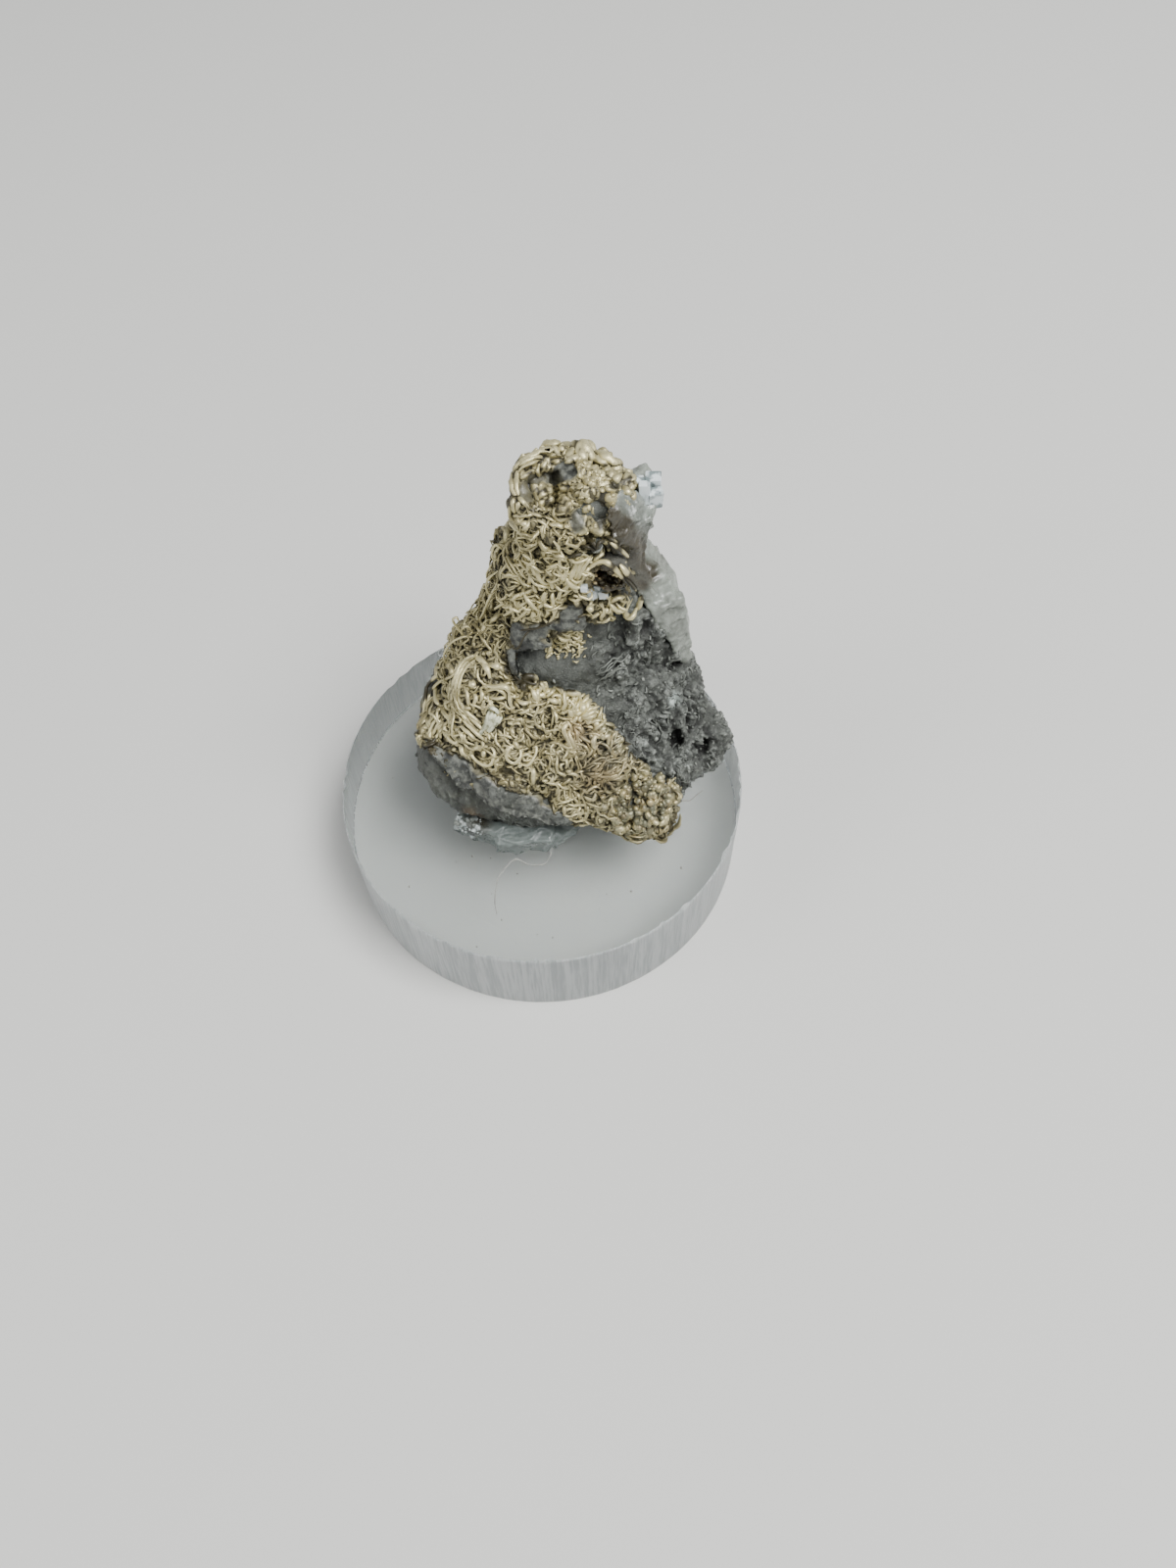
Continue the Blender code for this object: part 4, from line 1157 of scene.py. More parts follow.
def rock_relief(place, normal):
    """The rock's height, its grain, and the painted shade of its seams, gullies and pits: smooth on the
    dark face, coarse and wormy to the right.
    """
    look = settings().rock
    low = ramp(place.y, 0.0, -4.0) * ramp(place.z, 6.0, 3.0) * 0.35
    back = ramp(place.y, 2.5, 5.0)
    coarse = min(1.0, 0.12 + roughness(place) + 0.55 * back + low)
    bent = place + 0.5 * noise.noise_vector(place * 0.8)
    patch = ramp(noise.noise(Vector((bent.x * 0.9, bent.y * 0.9, bent.z * 0.45 + 3.3))), -0.3, 0.15)
    coarse *= 0.6 + 0.4 * patch
    upright = Vector((bent.x * 2.3, bent.y * 2.3, bent.z * 1.05))
    worm = 1.0 - min(1.0, 2.6 * abs(noise.noise(upright)))
    high, seam, tone = cushion(upright * 1.25, 1.0)
    broad = ramp(noise.noise(place * 0.55 + Vector((1.7, 5.2, 3.1))), -0.4, 0.4)
    ledge = 2.0 * noise.noise(place * 0.6 + Vector((4.4, 8.1, 2.3)))
    stepped = 0.12 * (math.floor(ledge) + min(1.0, 3.0 * (ledge % 1.0)) - ledge)
    grains = look.grain / MM * (0.8 * worm + 0.5 * high * (0.3 + 0.7 * tone) - 0.55)
    fold = 0.3 * noise.noise(place * 0.95 + Vector((7.0, 2.0, 5.0)))
    streak = noise.noise(Vector((bent.x * 1.7, bent.y * 1.7, bent.z * 0.5)))
    height = coarse * (fold + grains + 0.22 * streak) + stepped + 0.05 * noise.noise(place * 4.6)
    gully = ramp(streak, -0.05, -0.35)
    seam = coarse * max(0.7 * seam, 0.9 * ramp(worm + 0.5 * high, 0.45, 0.05), 0.8 * gully)
    # The pits are sunk and painted nearly black as shade
    for centre, reach, depth in PITS:
        share = nearness(place, centre, reach)
        height -= depth * share
        seam = max(seam, min(1.0, 1.8 * share))
    lit = ramp(streak, 0.0, 0.35)
    bright = (0.25 + 0.5 * broad + 0.4 * lit) * (0.15 + 0.6 * worm * worm + 0.6 * tone * high)
    return height, coarse * bright, seam


def ground():
    """The felt's solid, sunk to lie under the wires, or hardly at all where the rock is bare."""
    rock = Skin(cad_mesh("sulphide_matrix"))

    def sink(place, normal):
        bare = bareness(place)
        wanted = 0.12 + 0.55 * (1.0 - bare) + 0.75 * bare * ramp(place.z, 10.5, 11.5)
        return -min(wanted + vug_depth(place), 0.95 * rock.gap(place))
    return pushed(remeshed(cad_mesh("silver_wire_mat"), FINENESS["ground"], 1), sink)


def reliefs(mesh, relief, names):
    """Push a mesh by the first number of relief(place, normal); store and return the others."""
    rows = [relief(vertex.co, vertex.normal) for vertex in mesh.vertices]
    moves = [vertex.normal * row[0] for vertex, row in zip(mesh.vertices, rows)]
    for vertex, move in zip(mesh.vertices, moves):
        vertex.co += move
    mesh.update()
    kept = list(zip(*rows))[1:]
    for name, values in zip(names, kept):
        store(mesh, name, values)
    return kept


class SPECIMEN_OT_rock(bpy.types.Operator):
    """Make the dark sulphide rock that carries everything else, with its grains and fibres"""
    bl_idname = "specimen.rock"
    bl_label = "Sulphide rock"

    def execute(self, context):
        shoulder = halved(cad_mesh("calcite_ridge"), SHOULDER_PLACE, -SHOULDER_NORMAL)
        shoulder = pushed(shoulder, lambda place, normal: -0.12)
        mesh = joined([cad_mesh("sulphide_matrix"), shoulder, ground()])
        mesh = remeshed(mesh, settings().rock.fineness / MM, 2)
        reliefs(mesh, rock_relief, ("grain", "seam"))
        set_down(mesh)
        held_in(mesh)
        made_skins["rock"] = Skin(mesh)
        net = Finish("pale_grains")
        tone = net.mix(net.attribute("tone"), (0.045, 0.049, 0.043), (0.24, 0.255, 0.225))
        # Painted shade: the fibres' low parts are darkened
        tone = net.mix(net.attribute("deep"), tone, (0.025, 0.027, 0.024))
        material = net.surface(Base_Color=tone, Roughness=0.5, Metallic=0.2)
        self.grains(mesh.copy(), material)
        self.fibres(made_skins["rock"], material)
        finished("matrix_rock", mesh, [dark_rock()], ["sulphide_matrix"])
        return {"FINISHED"}

    @staticmethod
    def grains(mesh, material):
        """Small bright grains on the rock's rough side."""
        store(mesh, "grow", [roughness(vertex.co) for vertex in mesh.vertices])
        made = grown(mesh, scatter_tree("block"), Spacing=0.34, Density=2.6, Smallest=0.04,
                     Largest=0.13, Flatness=0.8, Unevenness=0.12, Seed=4, Material=material)
        finished("matrix_grains", held_in(made), [material], smooth=False)

    @staticmethod
    def fibres(skin, material):
        """Short grey fibres on the rock's rough side, and a few light threads."""
        bundle = Bundle()
        places = skin.scattered(
            settings().rock.fibres, 0.16, SEEDS["fibres"],
            lambda place: noise.cell(place * 8.1) < roughness(place) and place.z > 0.5)
        strew(skin, places, ROCK_KINDS, random.Random(SEEDS["fibres"]), lambda place: bundle)
        rng = random.Random(SEEDS["threads"])
        for corners in ROCK_LINES:
            for _ in range(3):
                shift = chance_step(rng, 0.07)
                line = [Vector(corner) + shift for corner in corners]
                bundle.add(draped(skin, line, 14, 0.1), rng.uniform(0.3, 0.6), 0.7)
        laid("matrix_fibres", bundle, skin, material, 0.1, slot="dark_sulphide", seed=4, sides=4,
             lift=0.1)


def nodular(place):
    """How far the felt is a crust of nodules here rather than wires: on the right foot."""
    foot = 2.2 * nearness(place, (6.2, -5.0, 4.2), 3.4)
    low = 1.2 * nearness(place, (4.2, -5.2, 3.8), 1.8)
    return min(1.0, foot + low)


def vug_gap(place):
    """How far a place is from the middle of the hollow, which is wider than it is high."""
    away = place - VUG
    return Vector((away.x * 0.72, away.y, away.z * 1.1)).length


def vug_depth(place):
    """How deep the hollow with the white crystals is at a place."""
    return VUG_DEPTH * falloff(vug_gap(place), VUG_REACH)


def felt_relief(place, normal):
    """The felt's core lies a little under the wires, with its own grains, and knows its colour, with
    shade painted dark under the wires and in its seams.
    """
    crust = nodular(place)
    high, seam, tone = cushion(place, 2.7 - 0.6 * crust)
    hollow = vug_depth(place)
    bare = bareness(place)
    lumps = (0.12 + 0.25 * crust) * noise.noise(place * 1.1)
    height = lumps + 0.16 * high - 0.28 + 0.3 * crust * high - hollow - 0.6 * bare
    # Painted shade: the core is darkened where the wires cover it and in its seams, less in the vug, not
    # where it is bare
    deep = max(0.7 * (1.0 - crust), 0.9 * seam) * (1.0 - bare) * (1.0 - min(1.0, 1.6 * hollow))
    return height, 0.2 + 0.8 * tone, deep, bare


class SPECIMEN_OT_felt(bpy.types.Operator):
    """Make the core of the felt, that shows between the wires, darkened by painted shade"""
    bl_idname = "specimen.felt"
    bl_label = "Felt core"

    def execute(self, context):
        mesh = remeshed(cad_mesh("silver_wire_mat"), FINENESS["felt"], 8)
        reliefs(mesh, felt_relief, ("tone", "deep", "bare"))
        held_in(mesh)
        smooth = modified(mesh, "SMOOTH", factor=0.5, iterations=12)
        made_skins["felt"] = Skin(smooth)
        material = silver("felt_silver", 1.0, 0.5)
        self.nodules(mesh.copy())
        finished("silver_felt", mesh, [material], ["silver_wire_mat"])
        return {"FINISHED"}

    @staticmethod
    def nodules(mesh):
        """Small nodules that crowd on the right foot, at the belly's upper edge and by the vug."""
        grow = []
        for vertex in mesh.vertices:
            place = vertex.co
            share = nodular(place)
            for start, end, reach in NODULE_LINES:
                share = max(share, 0.9 * falloff(capsule(place, start, end), reach))
            grow.append(share if made_skins["rock"].gap(place) > 0.12 else 0.0)
        store(mesh, "grow", grow)
        material = silver("nodule_silver", 1.0, 0.25)
        made = grown(mesh, scatter_tree("ball"), Spacing=0.18, Density=50.0, Smallest=0.08,
                     Largest=0.32, Flatness=0.75, Unevenness=0.25, Seed=6, Material=material)
        skin = Skin(mesh)
        # Painted shade: the nodules' low parts are darkened
        store(made, "deep", skin.depths(made, -0.08, 0.16))
        finished("felt_nodules", held_in(made), [material])


# Lines along which nodules stand, and how far they reach
NODULE_LINES = (
    ((-0.6, -0.8, 11.5), (0.6, -1.2, 10.9), 0.5),
    ((1.8, -1.6, 10.5), (4.0, -2.1, 8.7), 0.4),
    ((4.0, -2.1, 8.7), (5.9, -3.1, 6.9), 0.45),
    ((2.5, -0.3, 17.2), (3.1, -0.1, 16.6), 0.45),
    ((3.1, -0.1, 16.6), (4.6, 0.0, 16.1), 0.6),
    ((4.6, 0.0, 16.1), (5.7, 0.8, 15.4), 0.5),
    ((3.3, 0.2, 18.8), (4.3, 0.4, 18.6), 0.45),
    ((5.0, 0.2, 18.3), (5.5, 0.5, 17.0), 0.5),
)


def on_top(place):
    """Whether a place on the felt faces out, away from the rock, and takes wires."""
    if place.z < 0.35 or made_skins["rock"].gap(place) < 0.16:
        return False
    if vug_gap(place) < CLEAR_OF_STARTS or bareness(place) > 0.4:
        return False
    return 0.5 + 0.5 * noise.cell(place * 9.7) > 0.92 * nodular(place)


# The level between belly and neck, how far each goes round to the left and the right in degrees,
# and where the belly's two halves meet
WAIST = 12.6
NECK_SIDES = (-62, 75)
BELLY_SIDES = (-78, 60)
BELLY_MIDDLE = -12


def is_neck(place):
    """Whether a place lies on the neck's felt."""
    return place.z > WAIST and NECK_SIDES[0] < azimuth(place) < NECK_SIDES[1]


def is_belly(place):
    """Whether a place lies on the belly's felt."""
    return place.z <= WAIST and BELLY_SIDES[0] < azimuth(place) < BELLY_SIDES[1]


def is_flank(place):
    """Whether a place lies on the felt's left flank or back."""
    return not (is_neck(place) or is_belly(place))


def covered(count, spacing, seed, accept, kinds, bundle_at):
    """Lay wires of several kinds over the felt where accept says so."""
    core = made_skins["felt"]
    places = core.scattered(count, spacing, seed, lambda place: accept(place) and on_top(place))
    strew(core, places, kinds, random.Random(seed), bundle_at)
    return core


class SPECIMEN_OT_neck_wires(bpy.types.Operator):
    """Lay straightish wires over the neck"""
    bl_idname = "specimen.neck_wires"
    bl_label = "Neck wires"

    def execute(self, context):
        bundle = Bundle()
        core = covered(settings().silver.neck_wires, 0.1, SEEDS["neck"], is_neck, NECK_KINDS,
                       lambda place: bundle)
        material = silver("neck_silver", 0.0, 0.1, 0.6)
        laid("neck_wires", bundle, core, material, 0.12, seed=1)
        return {"FINISHED"}


class SPECIMEN_OT_belly_wires(bpy.types.Operator):
    """Lay short curling wires over the belly"""
    bl_idname = "specimen.belly_wires"
    bl_label = "Belly wires"

    def execute(self, context):
        left, right = Bundle(), Bundle()
        core = covered(settings().silver.belly_wires, 0.09, SEEDS["belly"], is_belly, BELLY_KINDS,
                       lambda place: left if azimuth(place) < BELLY_MIDDLE else right)
        material = silver("belly_silver", 1.15, 0.42, 0.95)
        for name, bundle in (("belly_wires_left", left), ("belly_wires_right", right)):
            laid(name, bundle, core, material, 0.1, seed=2)
        return {"FINISHED"}


class SPECIMEN_OT_flank_wires(bpy.types.Operator):
    """Lay longer wires over the left flank and the back"""
    bl_idname = "specimen.flank_wires"
    bl_label = "Flank wires"

    def execute(self, context):
        bundle = Bundle()
        core = covered(settings().silver.flank_wires, 0.12, SEEDS["flank"], is_flank, FLANK_KINDS,
                       lambda place: bundle)
        material = silver("flank_silver", 0.9, 0.35)
        laid("flank_wires", bundle, core, material, 0.12, seed=6, sides=4)
        return {"FINISHED"}


# Free wires that stand out from the left side of the neck and flank
STRAYS = (
    ((-3.4, 2.2, 11.4), (-3.53, 2.2, 11.7), (-3.79, 2.2, 12.33), (-4.04, 2.2, 13.05),
     (-4.1, 2.2, 13.47), (-3.87, 2.2, 13.61), (-3.8, 2.2, 13.27)),
    ((-3.18, 2.0, 12.07), (-3.71, 2.0, 12.14), (-4.24, 2.0, 11.86), (-4.68, 2.0, 11.31),
     (-4.93, 2.0, 10.62), (-4.89, 2.0, 9.98), (-4.69, 2.0, 10.32)),
    ((-3.53, 2.2, 11.69), (-3.75, 2.2, 12.24), (-3.59, 2.2, 12.73), (-3.27, 2.2, 12.69),
     (-3.16, 2.2, 12.16)),
    ((-1.3, 1.8, 17.5), (-1.5, 1.8, 17.33), (-1.84, 1.8, 17.0), (-2.04, 1.8, 16.41),
     (-1.94, 1.8, 15.77), (-1.62, 1.8, 15.89)),
    ((-1.01, 1.7, 19.21), (-1.28, 1.7, 19.53), (-1.51, 1.7, 19.13), (-1.51, 1.7, 18.55),
     (-1.22, 1.7, 18.37)),
)


class SPECIMEN_OT_curls(bpy.types.Operator):
    """Lay the wires that stand out: arches, rings, the bright ribbon and the stray wires"""
    bl_idname = "specimen.curls"
    bl_label = "Arches, rings and strays"

    def execute(self, context):
        rng = random.Random(SEEDS["curls"])
        core = made_skins["felt"]
        skins = (core, made_skins["rock"], made_skins["calcite"])
        bundle = Bundle()
        trace_all(bundle, skins, NECK_TRACES, 0.42, 0.8)
        trace_all(bundle, skins, BELLY_TRACES, 0.45, 0.88)
        for corners in STRAYS:
            bundle.add(smooth_line(corners, 16), 0.75, rng.uniform(0.2, 0.6))
        self.fringe(bundle, core, rng)
        material = silver("curl_silver", 0.4, 0.2)
        laid("silver_curls", bundle, core, material, 0.06, 0.45, seed=9, sides=6, lift=0.3)
        self.face_silver(made_skins["rock"], rng, material)
        self.ribbon(skins)
        return {"FINISHED"}

    @staticmethod
    def fringe(bundle, core, rng):
        """Stubby wires that stand side by side along the belly's upper edge."""
        line = smooth_line(FRINGE, 60)
        for _ in range(FRINGE_WIRES):
            start = rng.choice(line) + Vector((-0.15, -0.3, -0.5)) * rng.random()
            start += chance_step(rng, 0.16)
            place, normal = core.near(start)
            heading = Vector((0.35, 0.5, 0.9)) + chance_step(rng, 0.45)
            path = walk(core, place, normal, heading, rng.uniform(0.35, 0.95), rng.gauss(0, 2.2),
                        rng.uniform(0.15, 0.55), rng.gauss(0, 1.5), rng.uniform(0.5, 1.0))
            bundle.add(path, rng.uniform(0.9, 1.7), rng.uniform(0.0, 0.5))

    @staticmethod
    def face_silver(rock, rng, material):
        """The small branching cluster of silver on the dark face, and scales on the rock below."""
        bundle = Bundle()

        def sprig(start, length, curl, rise, thick, tone):
            place, normal = rock.near(start)
            heading = chance_step(rng, 1)
            path = walk(rock, place, normal, heading, rng.uniform(*length), rng.gauss(0, curl),
                        rng.uniform(0.05, rise), 0.0, rng.uniform(0.4, 1.0))
            bundle.add(path, rng.uniform(*thick), rng.uniform(tone, 1.0))

        trace_all(bundle, (rock,), FACE_TRACES, 0.22, 0.7)
        for _, _, *parts in FACE_TRACES:
            for corner in zip(parts[::2], parts[1::2]):
                for _ in range(4):
                    across, down = corner[0] + rng.gauss(0, 2.6), corner[1] + rng.gauss(0, 2.6)
                    start = traced((rock,), ((across, down), (across + 1, down)), 0.02)[0]
                    sprig(start, (0.15, 0.5), 4, 0.25, (0.4, 0.85), 0.1)
        for corner in SCALES:
            for _ in range(SCALE_COUNT):
                sprig(Vector(corner) + chance_step(rng, 0.28), (0.25, 0.7), 3.5, 0.15, (0.3, 0.7), 0.4)
        laid("face_silver", bundle, rock, material, 0.1, seed=10, lift=0.12)

    @staticmethod
    def ribbon(skins):
        """The white ribbon on the belly's upper left: strands laid side by side."""
        bundle = Bundle()
        trace_all(bundle, skins, RIBBON_TRACES, 0.6)
        net = Finish("ribbon_silver")
        shade = net.mix(net.patches(0.4, 0.62, 2.5), (0.72, 0.74, 0.56), (0.30, 0.31, 0.2))
        material = net.surface(Base_Color=shade, Roughness=0.45, Metallic=0.2)
        laid("silver_ribbon", bundle, None, material, 0.05, 0.35, seed=9, sides=6)


# Where the crown is bare or carries a painted shadow in the front view: across, down, their halves and
# how dark the painted shadow is
CROWN_HOLLOWS = (
    (575.6, 481, 14, 11, 0.0), (563, 487, 13, 9, 0.1), (546, 489, 9, 8, 0.8), (536.5, 502, 8, 13, 0.65),
    (589, 532, 8, 13, 0.1), (613, 521, 6.5, 19, 0.95), (628, 495, 6, 4.5, 0.95),
)


# A block inside the crown's left rim, that closes the thin wall there
RIM_FILL = (
    (0.5, 2.2, 21.4), (1.5, 2.0, 21.4), (0.6, 3.4, 21.6), (1.6, 3.4, 21.6), (0.75, 2.5, 22.25),
    (1.3, 2.4, 22.2), (0.8, 3.2, 22.45), (1.4, 3.2, 22.4),
)


# How many short wires tangle below the crown's left rim, and the level above which they start
RIM_WIRES = 150
KNOB = 20.4


def wired(place):
    """How far the crown's lower left carries wires instead of nodules."""
    return ramp(place.y + 0.1 * place.x, 1.75, 1.3) * ramp(place.x, 2.6, 2.1)


def crown_relief(place, normal):
    """The crown's rounded scales, that stop round its hollows and below the knob, with shade painted in
    their seams, in the shadowed hollows, on the left rim and on the wired lower left.
    """
    across, down = seen(place)
    front = in_front(place)
    crater = crater_share(place)
    high, seam, tone = cushion(place, 1.85 + 0.9 * crater)
    bare = dark = 0.0
    ragged = 0.3 * noise.noise(place * 2.5)
    for x, y, half_across, half_down, painted_shadow in CROWN_HOLLOWS:
        gap = math.hypot((across - x) / half_across, (down - y) / half_down)
        share = front * ramp(gap + ragged, 1.1, 0.85)
        bare = max(bare, share)
        dark = max(dark, painted_shadow * share)
    away = ramp(made_skins["crown"].gap(place), 0.3, 0.7) * (1.0 - front * ramp(down, 552, 545))
    bare = max(bare, away)
    # Painted shade on the inside of the crater's left rim
    rim = front * ramp(across, 533, 527) * ramp(down, 540, 530)
    sunk = ramp(place.z, 22.7, 23.3) * 0.18
    high_part = (1.0 - 0.6 * rim) * (0.2 * high + 0.06 * tone) - 0.06
    height = (1.0 - bare) * high_part - 0.05 * bare - 0.2 * away - 0.04 * rim - sunk + 0.16 * crater
    # Painted shade: the seams, the shadowed hollows, the left rim and the wired lower left are darkened
    deep = max((1.0 - bare) * seam, dark, 0.8 * rim, 0.6 * wired(place))
    shade = 0.25 + 0.45 * tone + 0.25 * crater
    return height, shade, deep, bare * (1.0 - 0.8 * max(dark, rim))


class SPECIMEN_OT_crown(bpy.types.Operator):
    """Make the nodular crust round the crater, its rim wires, its lobes and its bead"""
    bl_idname = "specimen.crown"
    bl_label = "Crown"

    def execute(self, context):
        solid = cad_mesh("silver_crown")
        made_skins["crown"] = Skin(solid)
        knob = halved(cad_mesh("sulphide_matrix"), Vector((0, 0, 19.9)), Vector((0, 0, -1)))
        core = remeshed(joined([solid, knob, block(RIM_FILL)]), FINENESS["crown"], 2)
        _, _, bare = reliefs(core, crown_relief, ("tone", "deep", "bare"))
        material = silver("crown_silver", 0.9, 0.35)
        self.nodules(core.copy(), bare, material)
        self.wires(Skin(core), material)
        finished("crown_crust", held_in(core), [material], ["silver_crown"])
        return {"FINISHED"}

    @staticmethod
    def nodules(mesh, bare, material):
        """Flat nodules that stand proud of the crust, outside the crater and its rim."""
        grow = []
        for vertex, share in zip(mesh.vertices, bare):
            across, down = seen(vertex.co)
            front = in_front(vertex.co)
            rim = front * ramp(across, 545, 535)
            lobes = front * ramp(down + 0.75 * (585 - across) * (across > 585), 462, 455)
            allowed = max(0.0, 1.0 - 1.6 * share - crater_share(vertex.co) - rim - lobes)
            grow.append(allowed * (1.0 - wired(vertex.co)))
        store(mesh, "grow", grow)
        skin = Skin(mesh)
        made = grown(mesh, scatter_tree("ball"), Spacing=0.235, Density=16.0, Smallest=0.1,
                     Largest=0.21, Flatness=0.45, Unevenness=0.2, Seed=8, Material=material)
        # Painted shade: the nodules' low parts are darkened
        store(made, "deep", skin.depths(made, -0.04, 0.12))
        finished("crown_nodules", held_in(made), [material])

    @staticmethod
    def wires(skin, material):
        """Long wires along the left rim, the tangle below it, and the lobes and bead on top."""
        rng = random.Random(SEEDS["crown"])
        bundle, lobes = Bundle(), Bundle()
        skins = (skin, made_skins["felt"], made_skins["rock"])
        trace_all(bundle, skins, RIM_TRACES, 0.2, 0.78)
        places = skin.scattered(RIM_WIRES, 0.13, SEEDS["tangle"],
                                lambda place: place.z > KNOB and wired(place) > 0.5)
        strew(skin, places, NECK_KINDS, rng, lambda place: bundle)
        laid("rim_wires", bundle, skin, material, 0.05, 0.4, seed=12, sides=6, lift=0.16)
        trace_all(lobes, (skin,), LOBE_TRACES, 0.12)
        laid("crown_lobes", lobes, skin, material, 0.03, 0.5, seed=13, sides=8, lift=0.16)


# Glossy blocks at the calcite's bright tip: place and size
TIP_BLOCKS = (
    ((6.25, 2.2, 21.8), (0.55, 0.45, 1.15)), ((6.05, 2.8, 21.95), (0.45, 0.45, 0.5)),
    ((6.75, 2.9, 21.8), (0.8, 0.7, 0.8)), ((6.75, 2.2, 21.4), (0.75, 0.55, 1.0)),
    ((6.45, 2.65, 21.9), (0.35, 0.4, 0.5)),
)


# The calcite's upper block, that the crown's solid partly hides
UPPER_BLOCK = (
    (4.3, 0.9, 22.6), (4.9, 1.5, 22.75), (5.85, 1.75, 22.3), (5.8, 1.35, 21.9), (5.5, 0.75, 21.4),
    (6.65, 1.5, 20.1), (5.6, 0.6, 19.6), (4.5, 0.45, 20.6), (4.25, 0.55, 21.6), (5.0, 2.6, 22.0),
    (6.0, 2.8, 19.6),
)


# The directions that the calcite's three cleavages face
CLEAVAGES = [Vector(direction).normalized()
             for direction in ((0.95, 0.1, 0.3), (-0.25, -0.9, 0.35), (-0.2, 0.35, 0.92))]


def cleaved(place, normal):
    """Calcite breaks in level steps, large and small, along its three cleavages."""
    step = settings().calcite.step / MM
    facing = max(CLEAVAGES, key=lambda direction: abs(direction.dot(normal)))
    height = 0.07 * noise.noise(place * 1.6) + 0.03 * noise.noise(place * 5.0)
    for size, share, bend in ((step, 0.3, 1.6), (0.36 * step, 0.26, 2.6)):
        level = place.dot(facing) / size + bend * noise.noise(place * 0.45 / share * 0.3)
        terrace = (math.floor(level) + ramp(level % 1.0, 0.6, 1.0) - level + 0.4) * size
        height += terrace * share * (1.0 if facing.dot(normal) > 0 else -1.0)
    return height


# Brown stains on the calcite: place, reach and strength
RIDGE_STAINS = (
    ((4.2, 0.7, 21.4), 1.5, 1.0), ((4.5, 0.6, 20.2), 2.0, 1.0), ((5.3, 0.8, 19.2), 2.1, 1.0),
    ((4.2, 0.6, 18.4), 1.4, 1.0), ((5.7, 0.9, 17.4), 2.0, 0.9), ((6.2, 2.0, 16.6), 1.8, 0.7),
    ((6.6, 4.6, 14.0), 2.4, 0.5), ((5.8, 5.6, 18.5), 2.2, 0.5), ((6.9, 3.0, 20.0), 1.2, 0.4),
)


# Where the felt's solid covers the rock but the wires leave it bare: the ends and the reach
BARE_FACES = (
    ((-0.45, 0.1, 14.0), (-0.5, -0.5, 12.3), 1.15),
    ((0.1, 0.0, 14.4), (1.3, -0.1, 15.2), 0.8),
    ((1.3, -0.1, 15.2), (3.0, -0.2, 15.3), 0.7),
    ((-6.9, -0.9, 5.6), (-5.3, -2.4, 5.7), 1.0),
    ((-5.3, -2.4, 5.7), (-4.2, -3.3, 5.7), 1.2),
    ((-4.2, -3.3, 5.7), (-3.1, -4.6, 5.5), 1.2),
    ((-3.1, -4.6, 5.5), (-0.9, -5.3, 4.8), 1.3),
    ((-0.9, -5.3, 4.8), (1.0, -6.0, 4.0), 0.9),
)

# Smaller bare patches in the front view: across, down and their halves
BARE_PATCHES = ((584, 623, 12, 13), (549, 655, 15, 11))


def bareness(place):
    """How far a place on the felt belongs to the bare rock, at most one."""
    ragged = 0.3 * noise.noise(place * 1.5)
    shares = [falloff(max(0.0, capsule(place, start, end) + ragged), reach * 1.25)
              for start, end, reach in BARE_FACES]
    edge = 8.3 + 2.4 * noise.noise(place * 0.7)
    behind = ramp(abs(azimuth(place)), 74.0, 90.0)
    bare = max(ramp(max(shares), 0.1, 0.22), ramp(place.z, edge, edge - 0.4) * behind)
    across, down = seen(place)
    for x, y, half_across, half_down in BARE_PATCHES:
        gap = math.hypot((across - x) / half_across, (down - y) / half_down) + ragged
        bare = max(bare, ramp(gap, 1.1, 0.9) * ramp(place.y, 1.6, 1.2))
    return bare


# The felt's upper edge on the belly, where a number of stubby wires stand up against the rock
FRINGE_WIRES = 150
FRINGE = ((-0.64, -1.03, 11.21), (0.03, -0.79, 11.25), (0.79, -1.18, 10.75), (1.56, -1.7, 10.43),
          (2.34, -2.01, 10.09), (3.1, -2.5, 9.45), (3.89, -2.87, 8.9), (4.84, -2.97, 7.7))

# Flat scales on the bare rock under the belly, and how many lie at each place
SCALE_COUNT = 8
SCALES = ((-5.2, -2.6, 5.5), (-4.6, -3.1, 5.4), (-4.0, -3.6, 5.5), (-3.4, -4.2, 5.8))


# Lobes on the crown's top, and the bead beside the calcite: thickness, tone, corners
LOBE_TRACES = (
    (2.3, 0, 586, 450, 589, 456, 593, 463, 598, 470), (2.3, 0, 593, 449, 597, 456, 601, 463, 605, 470),
    (2.1, 0, 599, 450, 603, 455, 607, 461), (2.4, 0, 608, 461, 615, 464, 623, 469, 631, 475),
    (2.0, .1, 606, 467, 612, 470, 620, 474), (1.9, .1, 552, 457, 557, 453, 564, 451, 571, 451),
    (1.7, .1, 574, 452, 582, 455), (1.6, 0, 548, 461, 556, 458, 564, 459), (1.5, .2, 571, 455, 575, 460),
    (1.6, .1, 584, 459, 581, 464, 577, 468), (1.7, .1, 591, 466, 584, 468, 577, 471),
    (1.5, .1, 588, 460, 592, 464), (1.5, .1, 562, 455, 567, 459, 570, 465), (2.9, .3, 629, 487, 631, 489),
)


# The brown band along the calcite's left in the front view, partly stained and partly painted shadow
# beside the crown: across, down and reach
STAIN_AND_SHADE_BAND = (
    (616, 500, 8), (618, 512, 9), (624, 526, 13), (634, 538, 15), (644, 552, 15), (652, 564, 14),
    (661, 576, 13), (665, 586, 10), (655, 597, 8), (640, 535, 10),
)


def stain_and_shade_share(place):
    """How far a place on the calcite belongs to its brown band, which is partly stained and partly
    painted shadow.
    """
    across, down = seen(place)
    ragged = 3.0 * noise.noise(place * 1.3)
    shares = [falloff(math.hypot(across - x, down - y) + ragged, 1.35 * reach)
              for x, y, reach in STAIN_AND_SHADE_BAND]
    return min(1.0, 1.6 * max(shares)) * ramp(place.y, 3.8, 2.8)


